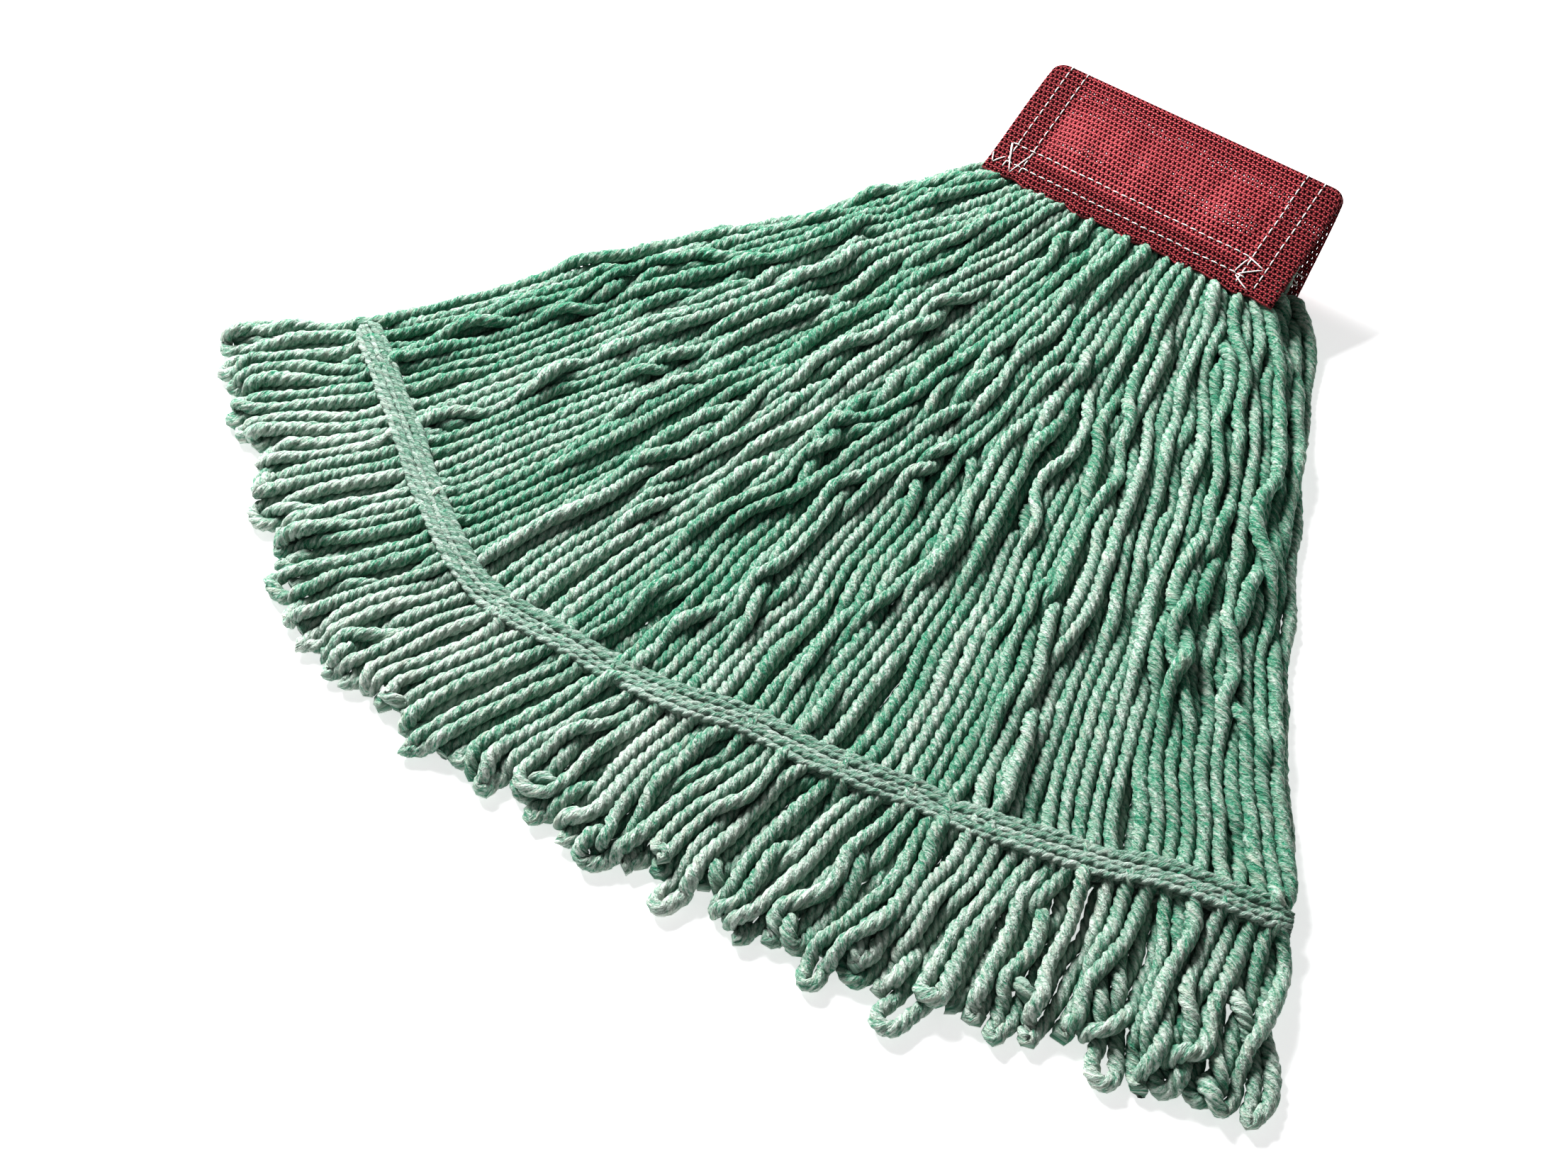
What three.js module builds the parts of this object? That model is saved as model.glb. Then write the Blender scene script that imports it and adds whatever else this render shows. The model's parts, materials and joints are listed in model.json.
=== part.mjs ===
// Looped-end string mop head, lying flat on its back half.
// Units are millimetres, +Z is up, and +Y runs from the fringe towards the headband.
// The headband is one fabric strip folded along its crown, with a yarn skein sewn under each lower edge.
// Each skein fans out, is crossed by a stitched tail band, and ends in loops.
import * as THREE from 'three';

// Headband: a 127 mm (5 inch) strip, folded into a tent that stands on the yarn.
const BAND_WIDTH = 160;
const FOLD_Y = 55.5;
const FOLD_Z = 46;
const CROWN_RADIUS = 3.2;
const FRONT_LENGTH = 64;
const BACK_LENGTH = 54;
const FRONT_SLOPE = 23;
const BACK_SLOPE = 50;
const CLOTH = 1.0;
const DOUBLE_CLOTH = 2.1;
const HEM_WIDTH = 21;
const SEAM_DEPTH = 21;
const GAP = 0.3;

// Yarn where it is sewn between the headband's lower edge and the inner facing.
const SEWN_WIDTH = 150;
const SEWN_YARN = 6.0;
const FACING = 0.8;
const EDGE_YARN = 7.4;

// Stitching thread, shown as thin bars lying on the cloth.
const THREAD = 0.8;
const THREAD_HEIGHT = 0.5;
const TACK_WIDTH = 12;
const TACK_HEIGHT = 15;

// Skeins: bundles side by side, from the headband's lower edge to the loop ends.
const BUNDLES = 12;
const BUNDLE_MARGIN = 0.45;
const CORNER_SPREAD = 14;
const SPLIT_HEIGHT = 12;
const SPLIT_SLOPE = 0.0145;
const FRONT_EDGE_Y = -4.7;
const BACK_EDGE_Y = 19;

// Tail band: two tapes, above and below the yarn, sewn across each skein.
const TAPE_WIDTH = 14;
const TAPE = 1.2;
const PINCHED_YARN = 3.2;

// Centre line of the tail band and outline of the loop ends, from the left side to the right.
const TAIL_POINTS = [
  [-250, -256], [-186, -293], [-112, -334], [-37, -333],
  [37, -323], [104, -307], [170, -288], [242, -266],
];
const LOOP_POINTS = [
  [-302, -293], [-226, -348], [-134, -398], [-42, -398],
  [46, -391], [122, -381], [196, -355], [267, -334],
];

const cloth = new THREE.MeshStandardMaterial({ color: 0xa32632, roughness: 0.9, metalness: 0 });
const facing = new THREE.MeshStandardMaterial({ color: 0x8c2230, roughness: 0.9, metalness: 0 });
const yarn = new THREE.MeshStandardMaterial({ color: 0x5f9f7f, roughness: 0.95, metalness: 0 });
const tape = new THREE.MeshStandardMaterial({ color: 0x8fc3a4, roughness: 0.95, metalness: 0 });
const thread = new THREE.MeshStandardMaterial({ color: 0xe9e4dc, roughness: 0.7, metalness: 0 });

const mop = new THREE.Group();
const radians = THREE.MathUtils.degToRad;

function addMesh(parent, name, geometry, material) {
  const mesh = new THREE.Mesh(geometry, material);
  mesh.name = name;
  parent.add(mesh);
  return mesh;
}

// A solid skinned over cross-sections with equal point counts.
// Each section runs anticlockwise when seen against the direction of travel.
// The diagonals of its left and right flanks match, so neighbours side by side stay clear.
function loft(sections) {
  const count = sections[0].length;
  const vertices = sections.flat().flatMap((point) => [point.x, point.y, point.z]);
  const faces = [];
  for (let ring = 0; ring + 1 < sections.length; ring += 1) {
    for (let i = 0; i < count; i += 1) {
      const j = (i + 1) % count;
      const a = ring * count;
      const b = a + count;
      if (i < count / 2) {
        faces.push(a + i, a + j, b + j, a + i, b + j, b + i);
      } else {
        faces.push(a + i, a + j, b + i, a + j, b + j, b + i);
      }
    }
  }
  const last = (sections.length - 1) * count;
  for (let i = 1; i + 1 < count; i += 1) {
    faces.push(0, i + 1, i, last, last + i, last + i + 1);
  }
  const geometry = new THREE.BufferGeometry();
  geometry.setAttribute('position', new THREE.Float32BufferAttribute(vertices, 3));
  geometry.setIndex(faces);
  geometry.computeVertexNormals();
  return geometry;
}

// ---- Headband ----
// Each half is built in its own frame: origin on the fold axis, x along the band,
// y up the panel towards the crown, z out of the panel.

// A strip of cloth from the crown's apex down the panel, flush with the outer surface.
function crownedStrip(thickness, length, x0, x1, apexAngle) {
  const far = CROWN_RADIUS;
  const near = CROWN_RADIUS - thickness;
  const outline = new THREE.Shape();
  outline.moveTo(-length, near);
  outline.lineTo(0, near);
  outline.absarc(0, 0, near, Math.PI / 2, apexAngle, true);
  outline.lineTo(far * Math.cos(apexAngle), far * Math.sin(apexAngle));
  outline.absarc(0, 0, far, apexAngle, Math.PI / 2, false);
  outline.lineTo(-length, far);
  const geometry = new THREE.ExtrudeGeometry(outline, {
    depth: x1 - x0,
    bevelEnabled: false,
    curveSegments: 7,
  });
  // The outline's axes become the frame's y and z, and the extrusion runs along x.
  geometry.applyMatrix4(new THREE.Matrix4().set(0, 0, 1, x0, 1, 0, 0, 0, 0, 1, 0, 0, 0, 0, 0, 1));
  return geometry;
}

// A flat box on the panel: x0 to x1 along the band, low to high up the panel.
function panelBox(half, name, x0, x1, low, high, outer, thickness, material) {
  const mesh = addMesh(half, name, new THREE.BoxGeometry(x1 - x0, high - low, thickness), material);
  mesh.position.set((x0 + x1) / 2, (low + high) / 2, CROWN_RADIUS - outer - thickness / 2);
}

// A zigzag back-tack that locks the thread rows where they cross.
function tackGeometry(width) {
  const strokes = 4;
  const peak = TACK_HEIGHT / 2;
  const stroke = 2;
  const points = [];
  for (let i = 0; i <= strokes; i += 1) {
    points.push([-width / 2 + (width * i) / strokes, i % 2 === 0 ? peak : stroke - peak]);
  }
  const outline = new THREE.Shape();
  outline.moveTo(...points[0]);
  points.slice(1).forEach(([x, y]) => outline.lineTo(x, y));
  points.reverse().forEach(([x, y]) => outline.lineTo(x, y - stroke));
  return new THREE.ExtrudeGeometry(outline, { depth: THREAD_HEIGHT, bevelEnabled: false });
}

function addHeadbandHalf(prefix, length) {
  const half = new THREE.Group();
  const edge = BAND_WIDTH / 2;
  const hemInner = edge - HEM_WIDTH;
  const seamTop = -length + SEAM_DEPTH;
  const apexAngle = Math.PI / 2 - radians(180 - BACK_SLOPE + FRONT_SLOPE) / 2 + GAP / (2 * CROWN_RADIUS);
  const above = -GAP - THREAD_HEIGHT;

  // The single-layer field between the hems, over the crown to the split at its apex.
  const field = crownedStrip(CLOTH, -seamTop - GAP, -hemInner + GAP, hemInner - GAP, apexAngle);
  addMesh(half, `headband_${prefix}_panel`, field, cloth);

  for (const side of [-1, 1]) {
    const label = prefix === 'front' ? side : -side;
    const hand = label < 0 ? 'left' : 'right';
    const x0 = side < 0 ? -edge : hemInner;
    const hem = crownedStrip(DOUBLE_CLOTH, -seamTop - GAP, x0, x0 + HEM_WIDTH, apexAngle);
    addMesh(half, `${prefix}_${hand}_hem`, hem, cloth);
    for (const [row, inset] of [['outer', 10], ['inner', 19]]) {
      const x = side * (edge - inset);
      panelBox(half, `${prefix}_${hand}_hem_thread_${row}`, x - THREAD / 2, x + THREAD / 2,
        seamTop + 1, -1.5, above, THREAD_HEIGHT, thread);
    }
    const tack = addMesh(half, `${prefix}_${hand}_back_tack`, tackGeometry(TACK_WIDTH), thread);
    tack.position.set(side * (edge - HEM_WIDTH / 2), seamTop - SEAM_DEPTH / 2, CROWN_RADIUS + GAP);
  }

  panelBox(half, `${prefix}_seam_edge`, -edge, edge, -length, seamTop, 0, DOUBLE_CLOTH, cloth);
  for (const [row, height] of [['upper', 18], ['lower', 8]]) {
    const y = -length + height;
    const reach = hemInner - 1;
    panelBox(half, `${prefix}_seam_thread_${row}`, -reach, reach, y - THREAD / 2, y + THREAD / 2,
      above, THREAD_HEIGHT, thread);
  }

  // The yarn's sewn ends and the facing that closes the seam on the inside.
  const yarnOuter = DOUBLE_CLOTH + GAP;
  const facingOuter = yarnOuter + SEWN_YARN + GAP;
  panelBox(half, `${prefix}_sewn_yarn_ends`, -SEWN_WIDTH / 2, SEWN_WIDTH / 2, -length + GAP, seamTop - 1.5,
    yarnOuter, SEWN_YARN, yarn);
  panelBox(half, `${prefix}_inner_facing`, -edge + 1, edge - 1, -length + GAP, seamTop - 1,
    facingOuter, FACING, facing);

  half.position.set(0, FOLD_Y, FOLD_Z);
  mop.add(half);
  return half;
}

addHeadbandHalf('front', FRONT_LENGTH).rotation.set(radians(FRONT_SLOPE), 0, 0);
addHeadbandHalf('back', BACK_LENGTH).rotation.set(radians(BACK_SLOPE), Math.PI, 0);

// ---- Skeins ----

function smoothCurve(points) {
  return new THREE.CatmullRomCurve3(points.map(([x, y]) => new THREE.Vector3(x, y, 0)));
}

const tailCurve = smoothCurve(TAIL_POINTS);
const loopCurve = smoothCurve(LOOP_POINTS);

// Height of the surface on which the front skein lies on the back one.
function splitHeight(y) {
  return SPLIT_HEIGHT + SPLIT_SLOPE * y;
}

// Plan position of the line between bundles: u runs across the skein from -1 to 1,
// along runs from 0 at the headband to 1 at the tail band, and past it to 2 at the loop ends.
function planPoint(u, along, edgeY) {
  const tail = tailCurve.getPointAt((u + 1) / 2);
  if (along > 1) {
    return tail.lerp(loopCurve.getPointAt((u + 1) / 2), along - 1);
  }
  const start = new THREE.Vector3((u * SEWN_WIDTH) / 2, edgeY, 0);
  const point = start.lerp(tail, along);
  const bow = (along / 0.1) * Math.exp(1 - along / 0.1);
  point.x += CORNER_SPREAD * u * u * u * bow;
  return point;
}

// Fractions of the strand and of the fringe that the tail band's half width covers.
const PINCH_BACK = (TAPE_WIDTH / 2 + 1) / 310;
const PINCH_AHEAD = (TAPE_WIDTH / 2 + 1) / 68;

// Stations along a skein: where, and how high the front skein's top stands there.
const STATIONS = [
  { along: 0.06, top: 26.5 },
  { along: 0.15, top: 24.5 },
  { along: 0.32, top: 20.5 },
  { along: 0.52, top: 17.5 },
  { along: 0.75, top: 15.6 },
  { along: 1 - 2 * PINCH_BACK, top: 14.8 },
  { along: 1 - PINCH_BACK, pinched: true },
  { along: 1 + PINCH_AHEAD, pinched: true },
  { along: 1 + 2 * PINCH_AHEAD, top: 14.4 },
  { along: 1.6, top: 13.6 },
  { along: 2, top: 11.5 },
];

// Lowest and highest point of the yarn at a station.
function yarnHeights(isFront, station, y) {
  const split = splitHeight(y);
  const onTape = TAPE + GAP;
  if (isFront) {
    const low = split + GAP;
    return station.pinched ? [low + onTape, low + onTape + PINCHED_YARN] : [low, station.top];
  }
  return station.pinched ? [onTape + 0.1, split - onTape - GAP] : [0, split];
}

// An eight-sided cross-section between two plan points, with its side corners cut off.
function bundleSection(left, right, low, high) {
  const across = right.clone().sub(left).normalize();
  const from = left.clone().addScaledVector(across, BUNDLE_MARGIN);
  const to = right.clone().addScaledVector(across, -BUNDLE_MARGIN);
  const cut = Math.min((high - low) * 0.3, 2.5);
  const corner = (base, inward, z) => {
    const point = base.clone().addScaledVector(across, inward);
    point.z = z;
    return point;
  };
  return [
    corner(from, cut, low), corner(to, -cut, low), corner(to, 0, low + cut), corner(to, 0, high - cut),
    corner(to, -cut, high), corner(from, cut, high), corner(from, 0, high - cut), corner(from, 0, low + cut),
  ];
}

// The section under a headband edge, square to the panel's slope.
function edgeSection(isFront, uLeft, uRight) {
  const slope = radians(isFront ? FRONT_SLOPE : BACK_SLOPE);
  const length = isFront ? FRONT_LENGTH : BACK_LENGTH;
  const outward = isFront
    ? new THREE.Vector3(0, -Math.sin(slope), Math.cos(slope))
    : new THREE.Vector3(0, Math.sin(slope), -Math.cos(slope));
  const down = new THREE.Vector3(0, -Math.cos(slope), -Math.sin(slope));
  const outer = new THREE.Vector3(0, FOLD_Y, FOLD_Z)
    .addScaledVector(outward, CROWN_RADIUS - DOUBLE_CLOTH + 0.8)
    .addScaledVector(down, length + GAP);
  const inner = outer.clone().addScaledVector(outward, -EDGE_YARN);
  const high = isFront ? outer : inner;
  const low = isFront ? inner : outer;
  const x0 = (uLeft * SEWN_WIDTH) / 2 + BUNDLE_MARGIN;
  const x1 = (uRight * SEWN_WIDTH) / 2 - BUNDLE_MARGIN;
  const cut = 2.2;
  const at = (x, blend) => {
    const point = low.clone().lerp(high, blend);
    point.x = x;
    return point;
  };
  return [
    at(x0 + cut, 0), at(x1 - cut, 0), at(x1, 0.3), at(x1, 0.7),
    at(x1 - cut, 1), at(x0 + cut, 1), at(x0, 0.7), at(x0, 0.3),
  ];
}

function addSkein(prefix) {
  const isFront = prefix === 'front';
  const edgeY = isFront ? FRONT_EDGE_Y : BACK_EDGE_Y;
  for (let index = 0; index < BUNDLES; index += 1) {
    const uLeft = -1 + (2 * index) / BUNDLES;
    const uRight = uLeft + 2 / BUNDLES;
    const sections = [edgeSection(isFront, uLeft, uRight)];
    for (const station of STATIONS) {
      const left = planPoint(uLeft, station.along, edgeY);
      const right = planPoint(uRight, station.along, edgeY);
      const [low, high] = yarnHeights(isFront, station, (left.y + right.y) / 2);
      sections.push(bundleSection(left, right, low, high));
    }
    const number = String(index + 1).padStart(2, '0');
    addMesh(mop, `${prefix}_yarn_bundle_${number}`, loft(sections), yarn);
  }
}

// A strip across the skein along the tail band: half a width each side of its centre line.
function tailStrip(halfWidth, lowAt, thickness) {
  const sections = [];
  for (let index = 0; index <= BUNDLES; index += 1) {
    const u = -1 + (2 * index) / BUNDLES;
    const centre = planPoint(u, 1, 0);
    const along = planPoint(u, 2, 0).sub(centre).normalize();
    const near = centre.clone().addScaledVector(along, -halfWidth);
    const far = centre.clone().addScaledVector(along, halfWidth);
    const low = lowAt(centre.y);
    sections.push([
      new THREE.Vector3(near.x, near.y, low),
      new THREE.Vector3(near.x, near.y, low + thickness),
      new THREE.Vector3(far.x, far.y, low + thickness),
      new THREE.Vector3(far.x, far.y, low),
    ]);
  }
  return loft(sections);
}

function addTailBand(prefix) {
  const isFront = prefix === 'front';
  const lower = (y) => (isFront ? splitHeight(y) + GAP : 0.1);
  const yarnTop = (y) => splitHeight(y) + TAPE + 3 * GAP + PINCHED_YARN;
  const upper = (y) => (isFront ? yarnTop(y) : splitHeight(y) - TAPE - GAP);
  addMesh(mop, `${prefix}_tail_band_lower`, tailStrip(TAPE_WIDTH / 2, lower, TAPE), tape);
  addMesh(mop, `${prefix}_tail_band_upper`, tailStrip(TAPE_WIDTH / 2, upper, TAPE), tape);
  if (isFront) {
    const above = (y) => upper(y) + TAPE + GAP;
    addMesh(mop, `${prefix}_tail_band_stitch`, tailStrip(THREAD, above, THREAD_HEIGHT), tape);
  }
}

for (const prefix of ['front', 'back']) {
  addSkein(prefix);
  addTailBand(prefix);
}

// The origin is centred under the whole mop head, on the floor.
mop.updateMatrixWorld(true);
const box = new THREE.Box3().setFromObject(mop, true);
const centre = box.getCenter(new THREE.Vector3());
mop.position.set(-centre.x, -centre.y, -box.min.z);

export default mop;
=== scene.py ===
"""Looped-end string mop head: a folded mesh headband with a yarn skein sewn under each edge."""

import json
import logging
import math
from collections.abc import Callable
from dataclasses import dataclass, field
from enum import Enum

import bpy
import numpy as np
from mathutils import Matrix, Vector


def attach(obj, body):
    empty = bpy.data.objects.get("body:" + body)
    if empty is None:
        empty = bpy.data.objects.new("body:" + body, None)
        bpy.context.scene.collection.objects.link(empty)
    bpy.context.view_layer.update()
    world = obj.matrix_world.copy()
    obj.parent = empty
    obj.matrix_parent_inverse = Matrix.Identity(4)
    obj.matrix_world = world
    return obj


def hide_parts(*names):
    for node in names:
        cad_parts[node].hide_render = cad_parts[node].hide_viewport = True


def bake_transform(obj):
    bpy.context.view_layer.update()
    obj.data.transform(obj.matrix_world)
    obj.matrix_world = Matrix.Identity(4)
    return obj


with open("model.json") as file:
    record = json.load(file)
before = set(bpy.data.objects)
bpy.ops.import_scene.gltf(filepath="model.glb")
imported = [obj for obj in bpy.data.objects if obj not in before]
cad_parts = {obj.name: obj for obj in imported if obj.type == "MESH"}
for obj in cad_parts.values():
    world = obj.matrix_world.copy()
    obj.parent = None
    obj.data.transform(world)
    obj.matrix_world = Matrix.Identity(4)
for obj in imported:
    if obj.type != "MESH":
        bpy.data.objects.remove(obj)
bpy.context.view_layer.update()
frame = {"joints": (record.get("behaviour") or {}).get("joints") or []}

logging.basicConfig(level=logging.INFO, format="%(message)s")
log = logging.getLogger("mop")

MM = 0.001
TURN = 2 * math.pi
UV_PER_METRE = 2.5
CURVE_STEPS = 400

Rgb = tuple[float, float, float]
Pair = tuple[np.ndarray, np.ndarray]
Socket = tuple[bpy.types.Node, str | int]
Point = tuple[float, float]
ClothPlace = Callable[[np.ndarray, np.ndarray], Pair]


class Half(Enum):
    """The two halves of the mop: the one on top and the one under it."""

    FRONT = "front"
    BACK = "back"


class Slot(Enum):
    """The material slots of the record."""

    YARN = "yarn"
    TAIL_BAND = "tail_band"
    HEADBAND = "headband"
    FACING = "facing"
    THREAD = "thread"


# ---------------------------------------------------------------------------
# Small helpers
# ---------------------------------------------------------------------------


def smooth_step(value: np.ndarray) -> np.ndarray:
    """Eases a value from 0 to 1 with flat ends."""
    t = np.clip(value, 0.0, 1.0)
    return t * t * (3 - 2 * t)


def catmull(points: np.ndarray, at: np.ndarray) -> np.ndarray:
    """Reads smooth curves through rows of points.

    Args:
        points: Control points, shaped (..., count, 3 or 2).
        at: Places along the rows, from 0 to count - 1.

    Returns:
        Points on the curves, shaped (..., len(at), 3 or 2).
    """
    count = points.shape[-2]
    left = np.clip(np.floor(at).astype(int), 0, count - 2)
    f = (at - left)[:, None]
    p0 = points[..., np.maximum(left - 1, 0), :]
    p1 = points[..., left, :]
    p2 = points[..., left + 1, :]
    p3 = points[..., np.minimum(left + 2, count - 1), :]
    return 0.5 * (
        2 * p1
        + (p2 - p0) * f
        + (2 * p0 - 5 * p1 + 4 * p2 - p3) * f**2
        + (3 * p1 - p0 - 3 * p2 + p3) * f**3
    )


def even_line(points: np.ndarray, count: int) -> np.ndarray:
    """Spaces a line's points evenly along it.

    Args:
        points: The line's points, shaped (n, dimensions).
        count: How many points to return.

    Returns:
        The evenly spaced points.
    """
    steps = np.linalg.norm(np.diff(points, axis=0), axis=1)
    run = np.concatenate([[0.0], np.cumsum(steps)])
    at = np.linspace(0.0, run[-1], count)
    return np.stack([np.interp(at, run, points[:, k]) for k in range(points.shape[1])], 1)


def run_length(line: np.ndarray) -> float:
    """Measures a line of points, shaped (n, dimensions)."""
    return float(np.linalg.norm(np.diff(line, axis=0), axis=1).sum())


def headings(points: np.ndarray, axis: int = 0) -> np.ndarray:
    """Finds the unit directions along lines of points.

    Args:
        points: The lines' points, shaped (..., dimensions).
        axis: The axis that runs along the lines.

    Returns:
        The directions, shaped as the points are.
    """
    ahead = np.gradient(points, axis=axis)
    return ahead / np.linalg.norm(ahead, axis=-1)[..., None]


def beside_of(ahead: np.ndarray) -> np.ndarray:
    """Turns plan directions a quarter to the right."""
    return np.stack([ahead[:, 1], -ahead[:, 0]], 1)


def upright(ahead: np.ndarray) -> Pair:
    """Finds the upward and the sideways direction across lines.

    Args:
        ahead: Unit directions along the lines, shaped (..., 3).

    Returns:
        The two unit directions.
    """
    up = np.array([0.0, 0.0, 1.0]) - ahead * ahead[..., 2:3]
    up = up / np.maximum(np.linalg.norm(up, axis=-1), 1e-6)[..., None]
    return up, np.cross(ahead, up)


def wander(rng: np.random.Generator, rows: int, count: int, knots: int) -> np.ndarray:
    """Makes smooth random rows with values of about -1 to 1.

    Args:
        rng: The seeded generator.
        rows: How many rows.
        count: Values in each row.
        knots: Random values that each row passes through.

    Returns:
        The rows, shaped (rows, count).
    """
    values = rng.uniform(-1.0, 1.0, (rows, knots, 1))
    return catmull(values, np.linspace(0, knots - 1, count))[..., 0]


def mesh_object(
    name: str,
    verts: np.ndarray,
    faces: np.ndarray,
    uv: np.ndarray | None = None,
    smooth: bool = True,
) -> bpy.types.Object:
    """Makes an object from arrays of vertices and equal-sided faces.

    Args:
        name: The piece's name.
        verts: Vertices in metres, shaped (n, 3).
        faces: Vertex numbers of each face, shaped (m, 3 or 4).
        uv: Corner coordinates, shaped (m * sides, 2), or none.
        smooth: Whether the faces are shaded smooth.

    Returns:
        The new object, at the origin.
    """
    mesh = bpy.data.meshes.new(name)
    sides = faces.shape[1]
    mesh.vertices.add(len(verts))
    mesh.vertices.foreach_set("co", verts.astype(np.float32).ravel())
    mesh.loops.add(faces.size)
    mesh.loops.foreach_set("vertex_index", faces.astype(np.int32).ravel())
    mesh.polygons.add(len(faces))
    mesh.polygons.foreach_set("loop_start", np.arange(0, faces.size, sides, dtype=np.int32))
    mesh.polygons.foreach_set("use_smooth", np.full(len(faces), smooth))
    if uv is not None:
        mesh.uv_layers.new(name="UVMap").data.foreach_set("uv", uv.astype(np.float32).ravel())
    mesh.update(calc_edges=True)
    obj = bpy.data.objects.new(name, mesh)
    bpy.context.scene.collection.objects.link(obj)
    return obj


def tube_faces(count: int, sides: int) -> tuple[np.ndarray, np.ndarray, np.ndarray]:
    """Joins rings of points into a closed tube of four-sided faces.

    Args:
        count: How many rings.
        sides: Points in each ring, an even number.

    Returns:
        The faces, wall first and lids last, then each wall corner's number round and along the tube.
    """
    ring, side = np.meshgrid(np.arange(count - 1), np.arange(sides), indexing="ij")
    here, beyond, near = ring * sides, (ring + 1) * sides, (side + 1) % sides
    wall = np.stack([here + side, here + near, beyond + near, beyond + side], -1)
    ends = [np.arange(sides)[::-1], np.arange(sides) + (count - 1) * sides]
    first = np.arange(1, sides - 2, 2)
    lids = [np.stack([np.full(len(first), e[0]), e[first], e[first + 1], e[first + 2]], -1) for e in ends]
    around = np.stack([side, side + 1, side + 1, side], -1).ravel()
    along = np.stack([ring, ring, ring + 1, ring + 1], -1).ravel()
    return np.concatenate([wall.reshape(-1, 4), *lids]), around, along


def paint(obj: bpy.types.Object, name: str, values: np.ndarray) -> None:
    """Stores a colour for each vertex, which the finishes read.

    Args:
        obj: The piece.
        name: The attribute's name.
        values: Two or three channels a vertex, shaped (n, channels).
    """
    colour = np.ones((len(values), 4), np.float32)
    colour[:, : values.shape[1]] = values
    obj.data.attributes.new(name, "FLOAT_COLOR", "POINT").data.foreach_set("color", colour.ravel())


# ---------------------------------------------------------------------------
# Places
# ---------------------------------------------------------------------------


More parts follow.
